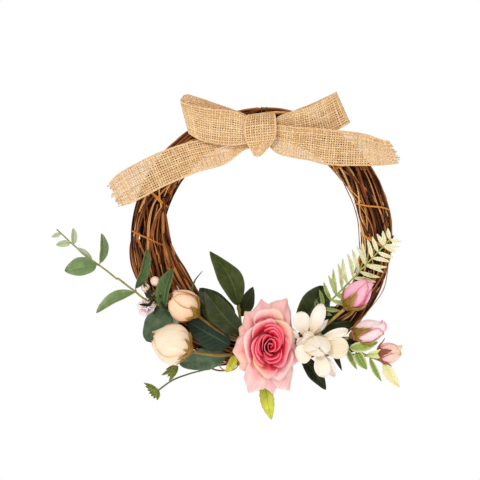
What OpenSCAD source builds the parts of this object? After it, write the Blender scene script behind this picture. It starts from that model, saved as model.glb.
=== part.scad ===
// Vine-twig flower crown with a burlap bow at the top and artificial flowers at the bottom.
// Millimetres. The ring stands in the XZ plane, +Z is up and the flowers face -Y.
// The origin is the centre of the ring.

/* [Ring] */
// Radius of the ring at the middle of the twig bundle
ring_r = 103; // [90:1:125]
// Radius of the bundle of inner twigs
core_r = 10.9; // [9:0.1:12]
// Radius of one outer vine
vine_r = 1.4; // [1:0.1:1.8]
// Number of outer vines laid round the bundle
vine_count = 18; // [12:1:24]
// Radius of the thin vine that binds the bundle
binding_r = 0.9; // [0.6:0.1:1.2]

/* [Bow] */
// Width of the burlap ribbon
ribbon_w = 30; // [24:1:34]
// Thickness of the burlap ribbon
ribbon_t = 1.2; // [0.8:0.1:2]
// Width of the knot across the bow
knot_w = 22; // [18:1:26]
// Height of the knot
knot_h = 38; // [32:1:42]
// Depth of the knot from back to front
knot_d = 15; // [12:1:18]

/* [Rose] */
// Half the width of the rose
rose_half_w = 29; // [26:1:34]
// Half the height of the rose
rose_half_h = 38; // [34:1:42]
// Depth of the rose from its base to its face
rose_depth = 30; // [26:1:34]
// Thickness of a petal
petal_t = 0.8; // [0.6:0.1:1.2]

/* [Foliage] */
// Thickness of a leaf
leaf_t = 0.7; // [0.5:0.1:1]
// Radius of a flower's plastic stem
stem_r = 1.3; // [1:0.1:1.6]
// Radius of a thin wire sprig
sprig_r = 0.8; // [0.6:0.1:1]
// Number of leaflet pairs on the fern
fern_pairs = 16; // [10:1:16]

/* [Hidden] */

bundle_r = core_r + 2 * vine_r + 0.35;     // outside of the outer vines
vine_ring_r = core_r + vine_r + 0.15;      // where the outer vines' centres lie in the bundle
front_y = -bundle_r;                       // the front of the ring
curve_steps = 4;                           // smooth steps between two points of a stem
tube_sides = 6;

// ---------- helpers ----------

// One point on a smooth curve between p1 and p2
function spline_point(p0, p1, p2, p3, t) =
    0.5 * (2 * p1 + (p2 - p0) * t + (2 * p0 - 5 * p1 + 4 * p2 - p3) * t * t
           + (3 * p1 - p0 - 3 * p2 + p3) * t * t * t);

// A smooth path through the points
function smooth(p) = let (n = len(p) - 1) concat(
    [for (i = [0:n - 1], k = [0:curve_steps - 1])
        spline_point(p[max(i - 1, 0)], p[i], p[i + 1], p[min(i + 2, n)], k / curve_steps)],
    [p[n]]);

function unit(v) = v / norm(v);

// A round rod that follows a path lying mostly in the XZ plane
module rod(points, r) {
    path = smooth(points);
    n = len(path);
    rings = [for (i = [0:n - 1])
        let (along = unit(path[min(i + 1, n - 1)] - path[max(i - 1, 0)]),
             side = unit(cross(along, [0, 1, 0])),
             front = cross(side, along))
        for (k = [0:tube_sides - 1])
            let (a = 360 * k / tube_sides) path[i] + r * (side * cos(a) + front * sin(a))];
    walls = [for (i = [0:n - 2], k = [0:tube_sides - 1])
        let (a = i * tube_sides + k, b = i * tube_sides + (k + 1) % tube_sides)
            [a, b, b + tube_sides, a + tube_sides]];
    caps = [[for (k = [tube_sides - 1:-1:0]) k], [for (k = [0:tube_sides - 1]) (n - 1) * tube_sides + k]];
    polyhedron(points = rings, faces = concat(walls, caps));
}

// Lays its children from base to tip: local +X runs to the tip and local +Z faces the front
module lay(base, tip, turn = 0) {
    d = tip - base;
    translate(base)
        rotate([90, 0, 0])
            rotate([0, 0, atan2(d.z, d.x)])
                rotate([turn, -atan2(-d.y, norm([d.x, d.z])), 0])
                    children();
}

// Outline of a leaf: wide near its base and pointed, or rounded when blunt is near 1
function leaf_half(w, t, blunt) =
    w / 2 * pow(sin(180 * pow(t, 0.8)), 0.85) * (1 - blunt) + w / 2 * sqrt(1 - pow(2 * t - 1, 2)) * blunt;

function leaf_edge(l, w, blunt) = [for (t = [0.04:0.115:0.96]) [l * t, leaf_half(w, t, blunt)]];

function leaf_outline(l, w, blunt) = let (edge = leaf_edge(l, w, blunt), n = len(edge))
    concat([[0, 0]], edge, [[l, 0]], [for (i = [n - 1:-1:0]) [edge[i].x, -edge[i].y]]);

module leaf(base, tip, w, turn = 0, blunt = 0)
    lay(base, tip, turn)
        linear_extrude(leaf_t)
            polygon(leaf_outline(norm(tip - base), w, blunt));

// Leaves from a list of [base, tip, width, turn]
module leaves(list, blunt = 0)
    for (item = list) leaf(item[0], item[1], item[2], item[3], blunt);

// ---------- ring ----------

module ring_hoop(offset_r, angle, r) {
    rotate([90, 0, 0])
        rotate_extrude($fn = 96)
            translate([ring_r + offset_r * cos(angle), offset_r * sin(angle)])
                circle(r, $fn = 24);
}

module inner_twigs() color("saddlebrown")
    ring_hoop(0, 0, core_r);

module outer_vines() color("sienna")
    for (i = [0:vine_count - 1])
        ring_hoop(vine_ring_r, 360 * i / vine_count, vine_r);

// Vines that leave the bundle at the lower left and cut across inside the ring
loose_paths = [
    [[-87, 3, 22], [-85, 5, 0], [-75, 6, -22], [-60, 4, -45], [-48, 2, -68], [-40, -2, -84]],
    [[-86, -6, 18], [-81, -8, -6], [-68, -8, -30], [-56, -7, -52], [-44, -6, -72]],
    [[-121, 2, 4], [-120, 4, -14], [-117, 3, -32], [-113, 2, -48]]
];
module loose_vines() color("peru")
    for (path = loose_paths) rod(path, 1.6);

// Ring angles of the bindings, anticlockwise from +X, and how far each one slants across the bundle
bindings = [[16, -26], [40, -26], [158, -21], [180, -25], [214, -25], [357, -26]];
binding_ring_r = (bundle_r + binding_r + 0.1) / cos(26);

module binding_vines() color("goldenrod")
    for (b = bindings)
        rotate([0, -b[0], 0])
            translate([ring_r, 0, 0])
                rotate([0, -b[1], 0])
                    rotate_extrude($fn = 48)
                        translate([binding_ring_r, 0])
                            circle(binding_r, $fn = 24);

// ---------- bow ----------

knot_c = [2, front_y - 2.6 - knot_d / 2, 94];
loop_depth = 11;
wire_r = 0.6;
wire_places = [-3, 1.5];                   // the tie wires' places across the knot

// A strip of ribbon: its path runs in local X and Z, and its width in local Y
module strip(path, w) {
    n = len(path);
    outline = concat(path, [for (i = [n - 1:-1:0]) path[i] + [0, ribbon_t]]);
    translate([0, w / 2, 0])
        rotate([90, 0, 0])
            linear_extrude(w)
                polygon(outline);
}

// A flattened loop of ribbon that starts in a point at the knot
function teardrop(l, r) = concat([[0, 0]],
    [for (a = [-105:15:105]) [l - r + r * cos(a), r * sin(a)]]);

module ribbon_loop(l, w) {
    r = loop_depth / 2;
    translate([0, w / 2, 0])
        rotate([90, 0, 0])
            linear_extrude(w)
                difference() {
                    polygon(teardrop(l, r));
                    translate([3 * ribbon_t, 0])
                        polygon(teardrop(l - 4 * ribbon_t, r - ribbon_t));
                }
}

module bow_knot() color("burlywood")
    translate(knot_c)
        rotate([0, 90, 0])
            linear_extrude(knot_w, center = true)
                polygon([for (a = [0:15:345])
                    [knot_h / 2 * cos(a) * (1 - 0.12 * pow(sin(2 * a), 2)),
                     knot_d / 2 * sign(sin(a)) * pow(abs(sin(a)), 0.6)]]);

module bow_wires() color("darkolivegreen")
    for (x = wire_places)
        translate([knot_c.x + x, 0, ring_r])
            rotate([0, 90, 0])
                rotate_extrude($fn = 48)
                    translate([bundle_r + wire_r + 0.2, 0])
                        circle(wire_r, $fn = 24);

module bow_left_loop() color("burlywood")
    lay([knot_c.x - knot_w / 2 - 0.5, -25, 99], [-72, -22, 110.5])
        ribbon_loop(66, ribbon_w + 2);

module bow_right_loop() color("burlywood")
    lay([knot_c.x + knot_w / 2 + 0.5, -22, 100], [69, -22, 117.5])
        ribbon_loop(58, ribbon_w - 2);

module bow_left_tail() color("burlywood")
    lay([knot_c.x - knot_w / 2 - 0.5, -21, 84], [-131, -19, 37])
        strip([[0, 0], [12, -2.5], [30, -3.5], [70, -3], [105, -1], [131, 2]], ribbon_w - 2);

module bow_right_tail() color("burlywood")
    lay([knot_c.x + knot_w / 2 + 0.5, -29, 90], [118, -24, 78])
        strip([[0, 0], [15, 1], [35, 1.5], [60, 0.5], [85, -0.5], [103, 0]], ribbon_w + 1);

// ---------- rose ----------

rose_base = [2, front_y - 6, -95];
rose_turn = 10;                            // the face looks this far to the right
rose_core_r = 7;

module rose_frame()
    translate(rose_base)
        rotate([0, 0, rose_turn])
            rotate([90, 0, 0])
                children();

// A petal's wall: [radius, height] points on its inside, base first
module petal(wall, start, sweep) {
    n = len(wall);
    rotate([0, 0, start])
        rotate_extrude(angle = sweep, $fn = 64)
            polygon(concat(wall, [for (i = [n - 1:-1:0]) wall[i] + [petal_t, -petal_t / 2]]));
}

module rose_heart() color("crimson")
    rose_frame()
        rotate_extrude($fn = 48)
            polygon([[0, 2], [3.5, 3], [rose_core_r - 1, 9], [rose_core_r - 0.5, 18], [4.5, rose_depth - 2],
                     [0, rose_depth]]);

module rose_inner_petals() color("palevioletred")
    rose_frame()
        for (i = [0:4]) {
            r = rose_core_r + 0.4 + i * 1.1;
            petal([[r - 2, 3], [r, 10], [r + 0.3, 19], [r - 0.6, rose_depth - 1.5 - i]], 137 * i, 190);
        }

module rose_middle_petals() color("lightpink")
    rose_frame()
        for (i = [0:4]) {
            r = rose_core_r + 6.6 + i * 1.3;
            petal([[r - 6, 2.6], [r - 1.5, 8], [r + 1, 16], [r + 2.5, rose_depth - 6 - i]], 137 * i + 40, 130);
        }

// Outer petals: [direction seen from the front, reach, width, height of the petal's foot]
outer_petals = [
    [62, 42, 28, 2], [100, 39, 27, 4], [140, 34, 25, 3], [182, 31, 26, 5], [225, 38, 27, 2],
    [262, 40, 26, 4], [298, 41, 28, 3], [340, 32, 26, 5], [20, 31, 26, 4]
];
module rose_outer_petals() color("pink")
    rose_frame()
        for (p = outer_petals)
            rotate([0, 0, p[0]])
                translate([4, 0, p[3]])
                    rotate([0, -8, 0])
                        linear_extrude(petal_t)
                            polygon(leaf_outline(p[1] - 4, p[2], 0.8));

module rose_calyx() color("olivedrab")
    rose_frame()
        rotate_extrude($fn = 48)
            polygon([[0, -3.2], [4, -3.2], [6, -1], [6.4, 0.6], [0, 0.6]]);

module rose_stem() color("darkolivegreen")
    rod([[0, -15.6, -95], [-14, -16.2, -94], [-30, -16, -88], [-46, -15.4, -78]], stem_r);

// ---------- five-petalled blossoms ----------

blossom_front = [49.5, -33, -96.5];
blossom_back = [41.5, -28, -87];

// Petals: [direction, length, width], lifted to the front by a pitch angle
front_petals = [[22, 29, 9], [357, 27, 19], [284, 25, 14], [200, 19, 17], [302, 27, 9]];
back_petals = [[70, 31, 13], [104, 23, 15], [43, 21, 7], [132, 16, 7]];

module blossom(centre, list, lift)
    for (p = list)
        leaf(centre + 3 * [cos(p[0]), 0, sin(p[0])],
             centre + [p[1] * cos(p[0]), -lift, p[1] * sin(p[0])], p[2], 0, 0.75);

module blossom_front_petals() color("ivory")
    blossom(blossom_front, front_petals, 5);

module blossom_back_petals() color("ivory")
    blossom(blossom_back, back_petals, 3);

module blossom_cups() color("beige")
    for (c = [[blossom_front, 1], [blossom_back, 0.24]])
        translate(c[0] + [0, -1, 0])
            rotate([90, 0, 0])
                rotate_extrude($fn = 48)
                    polygon([for (p = [[0, -4], [3, -4], [7, 0], [9.5, 4], [8, 7.5], [3, 9], [0, 9]]) [c[1] * p.x, p.y]]);

module blossom_stems() color("olivedrab") {
    rod([[49, -29, -96.5], [46, -22, -98], [34, -18, -101], [16, -16, -103]], stem_r * 0.8);
    rod([[41, -24, -87], [38, -20, -90], [28, -17.5, -96], [12, -16, -99]], stem_r * 0.8);
}

// ---------- buds ----------

// Radius of a bud at a share t of its length
function bud_radius(r, t) = r * pow(sin(180 * pow(t, 0.82)), 0.75);

bud_steps = [0.03:0.097:1];

module bud(base, tip, r) {
    l = norm(tip - base);
    lay(base, tip)
        rotate([0, 90, 0])
            rotate_extrude($fn = 48)
                polygon(concat([[0, 0]], [for (t = bud_steps) [bud_radius(r, t), l * t]], [[0, l]]));
}

// A thin cup over the first share of the bud
module calyx(base, tip, r, share) {
    l = norm(tip - base);
    cup = [for (t = [0.03:0.045:share]) [bud_radius(r, t), l * t]];
    n = len(cup);
    lay(base, tip)
        rotate([0, 90, 0])
            rotate_extrude($fn = 48)
                polygon(concat([[0, -1.4]], [for (p = cup) p + [1, -1]],
                               [for (i = [n - 1:-1:0]) cup[i] + [0.2, -0.2]], [[0, -0.3]]));
}

// Bud places: base, tip and largest radius
pink_1 = [[75, -24, -62], [96, -27, -38], 11.5];
pink_2 = [[80, -24, -87], [110.5, -25, -79], 10.8];
pink_3 = [[102, -22, -104], [125, -23, -100.5], 9.6];
peach_1 = [[-58, -27, -68], [-83, -30, -50], 14];
peach_2 = [[-64, -31, -100], [-98, -32, -87], 19];

module pink_bud_1() color("pink") bud(pink_1[0], pink_1[1], pink_1[2]);
module pink_bud_2() color("pink") bud(pink_2[0], pink_2[1], pink_2[2]);
module pink_bud_3() color("mistyrose") bud(pink_3[0], pink_3[1], pink_3[2]);
module peach_bud_1() color("peachpuff") bud(peach_1[0], peach_1[1], peach_1[2]);
module peach_bud_2() color("peachpuff") bud(peach_2[0], peach_2[1], peach_2[2]);

module pink_bud_1_calyx() color("olive") calyx(pink_1[0], pink_1[1], pink_1[2], 0.36);
module pink_bud_2_calyx() color("olive") calyx(pink_2[0], pink_2[1], pink_2[2], 0.36);
module pink_bud_3_calyx() color("sienna") calyx(pink_3[0], pink_3[1], pink_3[2], 0.4);
module peach_bud_1_calyx() color("darkgoldenrod") calyx(peach_1[0], peach_1[1], peach_1[2], 0.3);
module peach_bud_2_calyx() color("olive") calyx(peach_2[0], peach_2[1], peach_2[2], 0.22);

module pink_bud_1_stem() color("olive")
    rod([[74, -23.8, -63], [68, -22, -68], [56, -19, -79], [40, -17, -92], [28, -16, -98]], stem_r);
module pink_bud_2_stem() color("olive")
    rod([[78.5, -23.8, -88.5], [72, -22, -91], [58, -18, -98], [40, -16, -104]], stem_r);
module pink_bud_3_stem() color("sienna")
    rod([[101.5, -21.8, -104.3], [92, -20, -105], [76, -17, -104], [56, -15, -105]], stem_r * 0.8);
module peach_bud_1_stem() color("darkgoldenrod")
    rod([[-57, -26.8, -69], [-52, -24, -73], [-40, -20, -82], [-26, -17, -91]], stem_r);
module peach_bud_2_stem() color("darkgoldenrod")
    rod([[-62, -30.8, -100.6], [-56, -27.5, -102.5], [-42, -22, -104.5], [-27, -18, -104.5]], stem_r);

// ---------- eucalyptus, left ----------

module eucalyptus_stem() color("yellowgreen")
    rod([[-68, -17, -74], [-80, -19, -67], [-92, -20, -60], [-106, -20, -54], [-113, -20, -48],
         [-146, -19, -24], [-159, -18, -15], [-172, -17, -3], [-185, -16, 9]], sprig_r);

eucalyptus_list = [
    [[-148, -20, -24], [-176, -24, -29], 17, 10],
    [[-145, -20, -22], [-143, -24, 4], 11, 50],
    [[-114, -21, -49], [-148, -25, -66], 12, 35],
    [[-113, -21, -45], [-102, -26, -10], 11, 40],
    [[-88, -21, -64], [-80, -27, -27], 15, -35],
    [[-91, -17.3, -62], [-87, -18.5, -32], 13, 0]
];
module eucalyptus_leaves() color("darkseagreen")
    leaves(eucalyptus_list, 0.5);

tip_list = [
    [[-171, -18, -4], [-184, -19, -6], 6, 0],
    [[-169, -18, -6], [-169, -20, 9], 6, 30],
    [[-180, -17, 4], [-188, -18, 1], 4, 0],
    [[-152, -19, -20], [-166, -20, -9], 6, 50]
];
module eucalyptus_tip_leaves() color("honeydew")
    leaves(tip_list, 0.3);

round_list = [
    [[-84, -19, -64], [-103, -23, -92], 25, -8],
    [[-29, -18.2, -96], [-66, -20.5, -75], 26, 0],
    [[-32, -14.6, -104.5], [-74, -16.8, -112.5], 20, 0]
];
module round_leaves() color("seagreen")
    leaves(round_list, 0.8);

// ---------- rose leaves ----------

rose_leaf_list = [
    [[-22, -22, -60], [-46, -29, -12], 21, 12],
    [[-26, -16.5, -76], [-56, -19, -45], 27, -6],
    [[-19, -24, -85], [-52, -27, -46], 23, -14],
    [[-20, -13.5, -70], [-8, -16, -44], 14, 12]
];
module rose_leaves() color("darkgreen")
    leaves(rose_leaf_list, 0.15);

module rose_leaf_stem() color("olivedrab")
    rod([[-21, -20.5, -58], [-20, -20, -70], [-18, -19, -82], [-13, -16.5, -93]], stem_r);

right_leaf_list = [
    [[35, -17, -79], [56, -18, -43], 27, 8],
    [[36, -19, -106], [57, -22, -135], 14, -12],
    [[53, -17, -85], [82, -18, -76], 13, 10],
    [[60, -17.5, -97], [99, -19, -93], 15, 0],
    [[62, -20, -97], [71, -21, -118], 5, 0]
];
module right_dark_leaves() color("darkgreen")
    leaves(right_leaf_list, 0.15);

lime_list = [
    [[2, -19, -126], [8, -22, -162], 13, 10],
    [[-24, -19, -105], [-32, -21, -120], 9, -20]
];
module lime_leaves() color("yellowgreen")
    leaves(lime_list, 0.2);

// ---------- fern ----------

fern_path = [[46, -18, -70], [58, -19, -59], [76, -22, -41], [98, -23, -18], [117, -22, 2]];

module fern_rachis() color("yellowgreen")
    rod(fern_path, sprig_r);

// Leaflets stand in pairs along a straight line beside the rachis
module fern_leaflets() color("khaki")
    for (i = [0:fern_pairs - 1]) {
        t = (i + 1) / (fern_pairs + 0.5);
        root = [46, -19.5, -70] * (1 - t) + [117, -24, 2] * t;
        l = 6 + 14 * sin(180 * pow(t, 0.75));
        leaf(root + [-0.8, 0, 1.6], root + [-2 - 0.1 * l, -1, l], 4.8, 0, 0.4);
        leaf(root + [1.6, 0, -0.8], root + [l, -1, -2 - 0.1 * l], 4.8, 0, 0.4);
    }

// ---------- variegated sprig, lower right ----------

module variegated_stem() color("yellowgreen")
    rod([[58, -19, -92], [70, -21, -96], [80, -22, -98], [94, -23, -105], [109, -23, -111]], sprig_r);

variegated_list = [
    [[78, -24, -98], [103, -27, -93], 9, 10],
    [[93, -25, -104], [117, -27, -100], 7, 12],
    [[84, -24, -101], [93, -27, -117], 9, 10],
    [[96, -23, -107], [106, -24, -128], 5, 10],
    [[108, -24, -111], [122, -25, -133], 9, 12],
    [[76, -23, -99], [84, -24, -117], 5, 10]
];
module variegated_leaves() color("palegreen")
    leaves(variegated_list, 0.2);

// ---------- trailing sprig, lower left ----------

module trailing_stem() color("darkolivegreen")
    rod([[-34, -16, -112], [-48, -16, -117], [-64, -18, -121], [-80, -19, -127], [-94, -19, -137]], sprig_r);

module trailing_leaf() color("olivedrab")
    leaves([[[-94, -20, -137], [-107, -21, -132], 7, 10],
            [[-94, -21, -138], [-99, -23, -146], 8, 10],
            [[-74, -21, -116], [-90, -22, -121], 7, 10]], 0.2);

// ---------- berries, small blossom and thorn ----------

berry_places = [[-95.5, -23, -38.5], [-104, -23, -44.5], [-99, -19, -51.5], [-89.5, -19, -47]];

module berry_stems() color("olivedrab")
    for (p = berry_places)
        rod([p + [0.5, 0.5, -3], [(p.x - 90) / 2, -19, -56], [-84, -17.5, -64]], sprig_r * 0.8);

module berries() color("wheat")
    for (p = berry_places)
        translate(p)
            sphere(3.6, $fn = 32);

module small_blossom() color("seashell")
    blossom([-103, -17.5, -62], [[20, 8, 7], [92, 8, 7], [164, 8, 7], [236, 9, 7], [308, 8, 7]], 2);

module thorn_twig() color("olive")
    rod([[-64, -14.5, -56], [-62, -14, -42], [-58, -14, -35], [-52, -15, -28]], sprig_r * 1.4);

// ---------- glue ----------

// Hot-melt pads between the ring and what it holds: [x, z, radius, height]
pads = [[2, -97, 8, 3], [34, -98, 6, 2.6], [-44, -86, 6, 2], [-78, -72, 6, 2.6], [54, -88, 6, 2]];

module glue_pads() color("whitesmoke")
    for (p = pads)
        translate([p[0], front_y, p[1]])
            rotate([90, 0, 0])
                cylinder(r1 = p[2], r2 = p[2] * 0.7, h = p[3], $fn = 32);

// ---------- nodes ----------

inner_twigs();
outer_vines();
loose_vines();
binding_vines();
bow_knot();
bow_wires();
bow_left_loop();
bow_right_loop();
bow_left_tail();
bow_right_tail();
rose_heart();
rose_inner_petals();
rose_middle_petals();
rose_outer_petals();
rose_calyx();
rose_stem();
blossom_front_petals();
blossom_back_petals();
blossom_cups();
blossom_stems();
pink_bud_1();
pink_bud_1_calyx();
pink_bud_1_stem();
pink_bud_2();
pink_bud_2_calyx();
pink_bud_2_stem();
pink_bud_3();
pink_bud_3_calyx();
pink_bud_3_stem();
peach_bud_1();
peach_bud_1_calyx();
peach_bud_1_stem();
peach_bud_2();
peach_bud_2_calyx();
peach_bud_2_stem();
eucalyptus_stem();
eucalyptus_leaves();
eucalyptus_tip_leaves();
round_leaves();
rose_leaves();
rose_leaf_stem();
right_dark_leaves();
lime_leaves();
fern_rachis();
fern_leaflets();
variegated_stem();
variegated_leaves();
trailing_stem();
trailing_leaf();
berry_stems();
berries();
small_blossom();
thorn_twig();
glue_pads();
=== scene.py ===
import bpy
import math
import random
import numpy as np
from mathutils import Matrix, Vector, noise


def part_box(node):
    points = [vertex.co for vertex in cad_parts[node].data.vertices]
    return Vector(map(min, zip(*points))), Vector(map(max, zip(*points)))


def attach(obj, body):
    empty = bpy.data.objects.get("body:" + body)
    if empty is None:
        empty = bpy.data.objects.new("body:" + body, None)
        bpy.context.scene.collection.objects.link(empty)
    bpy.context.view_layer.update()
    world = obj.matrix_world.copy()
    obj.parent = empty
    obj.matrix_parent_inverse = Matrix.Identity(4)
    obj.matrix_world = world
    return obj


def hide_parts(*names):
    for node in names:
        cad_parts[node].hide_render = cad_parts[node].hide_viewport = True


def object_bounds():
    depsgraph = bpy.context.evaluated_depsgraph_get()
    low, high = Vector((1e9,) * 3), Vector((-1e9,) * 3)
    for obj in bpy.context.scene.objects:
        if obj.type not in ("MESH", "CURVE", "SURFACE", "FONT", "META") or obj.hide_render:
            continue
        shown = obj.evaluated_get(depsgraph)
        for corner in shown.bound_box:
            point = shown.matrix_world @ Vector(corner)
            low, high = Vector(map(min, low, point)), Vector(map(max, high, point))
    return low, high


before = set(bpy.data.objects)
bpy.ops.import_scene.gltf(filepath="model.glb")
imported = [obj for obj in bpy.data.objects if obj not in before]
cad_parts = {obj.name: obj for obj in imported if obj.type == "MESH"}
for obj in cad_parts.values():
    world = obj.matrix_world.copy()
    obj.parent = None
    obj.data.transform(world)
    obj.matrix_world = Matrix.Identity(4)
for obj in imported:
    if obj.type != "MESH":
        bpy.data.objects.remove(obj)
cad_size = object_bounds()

mm = 0.001


# ---------- View, light and floor ----------
# The crown hangs upright with its flowers to the viewer, seen straight on through a long lens.
# A white room lights it softly, and a large lamp from the upper left gives the gentle shadows.

ring_low, ring_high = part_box("inner_twigs")
core_r = (ring_high.y - ring_low.y) / 2
ring_r = (ring_high.x - ring_low.x) / 2 - core_r
view_centre = Vector((-0.192 * ring_r, 0, -0.017 * ring_r))
view_distance = 2.4
view_width = 4.194 * ring_r

camera_data = bpy.data.cameras.new("view")
camera_data.sensor_width = 36
camera_data.lens = 36 * view_distance / view_width
camera_data.clip_end = 50
camera = bpy.data.objects.new("view", camera_data)
camera.location = view_centre + Vector((0, -view_distance, 0))
camera.rotation_euler = (math.pi / 2, 0, 0)
bpy.context.scene.collection.objects.link(camera)
bpy.context.scene.camera = camera
bpy.context.scene.view_settings.view_transform = "Standard"


def lamp(name, place, size, power, colour=(1, 1, 1)):
    data = bpy.data.lights.new(name, "AREA")
    data.shape = "DISK"
    data.size = size
    data.energy = power
    data.color = colour
    obj = bpy.data.objects.new(name, data)
    obj.location = place
    obj.rotation_euler = (-Vector(place)).to_track_quat("-Z", "Y").to_euler()
    bpy.context.scene.collection.objects.link(obj)


lamp("softbox", (-0.7, -1.5, 1.3), 0.5, 19.5, (1.0, 0.98, 0.96))
lamp("fill", (1.1, -1.5, 0.2), 1.0, 4)
lamp("rim", (0.2, 1.5, 1.0), 1.0, 4)

room = bpy.data.worlds.new("white_room")
room.use_nodes = True
room.node_tree.nodes["Background"].inputs[0].default_value = (1, 1, 1, 1)
room_light = room.node_tree.nodes["Background"]
room_light.inputs[1].default_value = 0.43
wall_light = room.node_tree.nodes.new("ShaderNodeBackground")
wall_light.inputs[0].default_value = (1, 1, 1, 1)
seen = room.node_tree.nodes.new("ShaderNodeLightPath")
either = room.node_tree.nodes.new("ShaderNodeMixShader")
room.node_tree.links.new(seen.outputs["Is Camera Ray"], either.inputs[0])
room.node_tree.links.new(room_light.outputs[0], either.inputs[1])
room.node_tree.links.new(wall_light.outputs[0], either.inputs[2])
room.node_tree.links.new(either.outputs[0], room.node_tree.nodes["World Output"].inputs[0])
bpy.context.scene.world = room

floor_mesh = bpy.data.meshes.new("floor")
floor_z = cad_size[0].z - 0.34
floor_side, floor_front, floor_back = 3.2, -3.2, 2.8
floor_mesh.from_pydata([(-floor_side, floor_front, floor_z), (floor_side, floor_front, floor_z),
                        (floor_side, floor_back, floor_z), (-floor_side, floor_back, floor_z)], [],
                       [(0, 1, 2, 3)])
floor = bpy.data.objects.new("floor", floor_mesh)
bpy.context.scene.collection.objects.link(floor)
floor_paint = bpy.data.materials.new("pale_floor")
floor_paint.use_nodes = True
floor_shader = floor_paint.node_tree.nodes["Principled BSDF"]
floor_shader.inputs["Base Color"].default_value = (0.96, 0.96, 0.96, 1)
floor_shader.inputs["Roughness"].default_value = 0.8
floor_shader.inputs["Emission Color"].default_value = (1, 1, 1, 1)
floor_shader.inputs["Emission Strength"].default_value = 0.5
floor_mesh.materials.append(floor_paint)


# ---------- Ring of vine twigs ----------
# Long dried vine shoots wound round and round into a bundle. They are brown, lumpy at the buds,
# of different thickness, and their broken tips stick out. Nothing holds them but their own winding.

bundle_r = (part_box("outer_vines")[1].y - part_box("outer_vines")[0].y) / 2
twig_step = 0.0034
bud_spacing = 0.034
dice = random.Random(11)


def smooth_through(points, step):
    """A smooth line through the points, with a vertex about every step."""
    p = [Vector(q) for q in points]
    out = []
    for i in range(len(p) - 1):
        a, b, c, d = p[max(i - 1, 0)], p[i], p[i + 1], p[min(i + 2, len(p) - 1)]
        parts = max(2, round((c - b).length / step))
        for k in range(parts):
            t = k / parts
            out.append(0.5 * (2 * b + (c - a) * t + (2 * a - 5 * b + 4 * c - d) * t * t
                              + (3 * b - a - 3 * c + d) * t ** 3))
    return np.array(out + [p[-1]])


class Rods:
    """Collects round tapering rods, such as twigs, stems or threads, for one piece."""

    def __init__(self):
        self.points, self.faces, self.marks, self.skin, self.count = [], [], [], [], 0

    def add(self, line, radius, tint=0.5, sides=8, flat=None, facing=None):
        """radius may vary along the line. marks hold tint and the share of the length."""
        line = np.asarray(line, float)
        n = len(line)
        radius = np.broadcast_to(np.asarray(radius, float), n)
        along = np.gradient(line, axis=0)
        along /= np.linalg.norm(along, axis=1)[:, None] + 1e-12
        if facing is None:
            side = np.cross(along[0], (0.31, 0.9, 0.3))
            sides_of = []
            for k in range(n):
                side = side - along[k] * np.dot(side, along[k])
                side = side / (np.linalg.norm(side) + 1e-12)
                sides_of.append(side)
            side = np.array(sides_of)
            up = np.cross(along, side)
        else:
            side = np.cross(facing, along)
            side /= np.linalg.norm(side, axis=1)[:, None] + 1e-12
            up = np.cross(along, side)
        turn = 2 * np.pi * np.arange(sides) / sides
        thin = radius if flat is None else radius * flat
        ring = (line[:, None, :] + side[:, None, :] * (radius[:, None] * np.cos(turn))[:, :, None]
                + up[:, None, :] * (thin[:, None] * np.sin(turn))[:, :, None])
        length = np.concatenate([[0], np.cumsum(np.linalg.norm(np.diff(line, axis=0), axis=1))])
        k, j = np.meshgrid(np.arange(n - 1), np.arange(sides), indexing="ij")
        a = self.count + k * sides + j
        b = self.count + k * sides + (j + 1) % sides
        self.faces += np.stack([a, b, b + sides, a + sides], -1).reshape(-1, 4).tolist()
        self.faces.append(list(range(self.count + sides - 1, self.count - 1, -1)))
        self.faces.append(list(range(self.count + (n - 1) * sides, self.count + n * sides)))
        self.points.append(ring.reshape(-1, 3))
        mark = np.empty((n, sides, 4))
        mark[..., 0], mark[..., 1], mark[..., 2], mark[..., 3] = tint, (length / length[-1])[:, None], 0.5, 1
        self.marks.append(mark.reshape(-1, 4))
        skin = np.empty((n, sides, 3))
        skin[..., 0] = (length + 10 * tint)[:, None]
        skin[..., 1], skin[..., 2] = radius[:, None] * np.cos(turn), radius[:, None] * np.sin(turn)
        self.skin.append(skin.reshape(-1, 3))
        self.count += n * sides

    def piece(self, name, material, slot, *nodes):
        return make_piece(name, np.concatenate(self.points), self.faces, np.concatenate(self.marks),
                          np.concatenate(self.skin), material, slot, *nodes)


def make_piece(name, points, faces, marks, skin, material, slot, *nodes):
    """A smooth mesh that rides on the crown, stands for those CAD nodes, and carries its marks."""
    mesh = bpy.data.meshes.new(name)
    mesh.from_pydata(np.asarray(points).tolist(), [], faces)
    mesh.polygons.foreach_set("use_smooth", [True] * len(mesh.polygons))
    painted = mesh.color_attributes.new("marks", "FLOAT_COLOR", "POINT")
    painted.data.foreach_set("color", np.asarray(marks).ravel())
    mesh.attributes.new("skin", "FLOAT_VECTOR", "POINT").data.foreach_set("vector", np.asarray(skin).ravel())
    mesh.materials.append(material)
    mesh.update()
    obj = bpy.data.objects.new(name, mesh)
    bpy.context.scene.collection.objects.link(obj)
    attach(obj, "root")
    if nodes:
        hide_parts(*nodes)
    return obj


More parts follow.
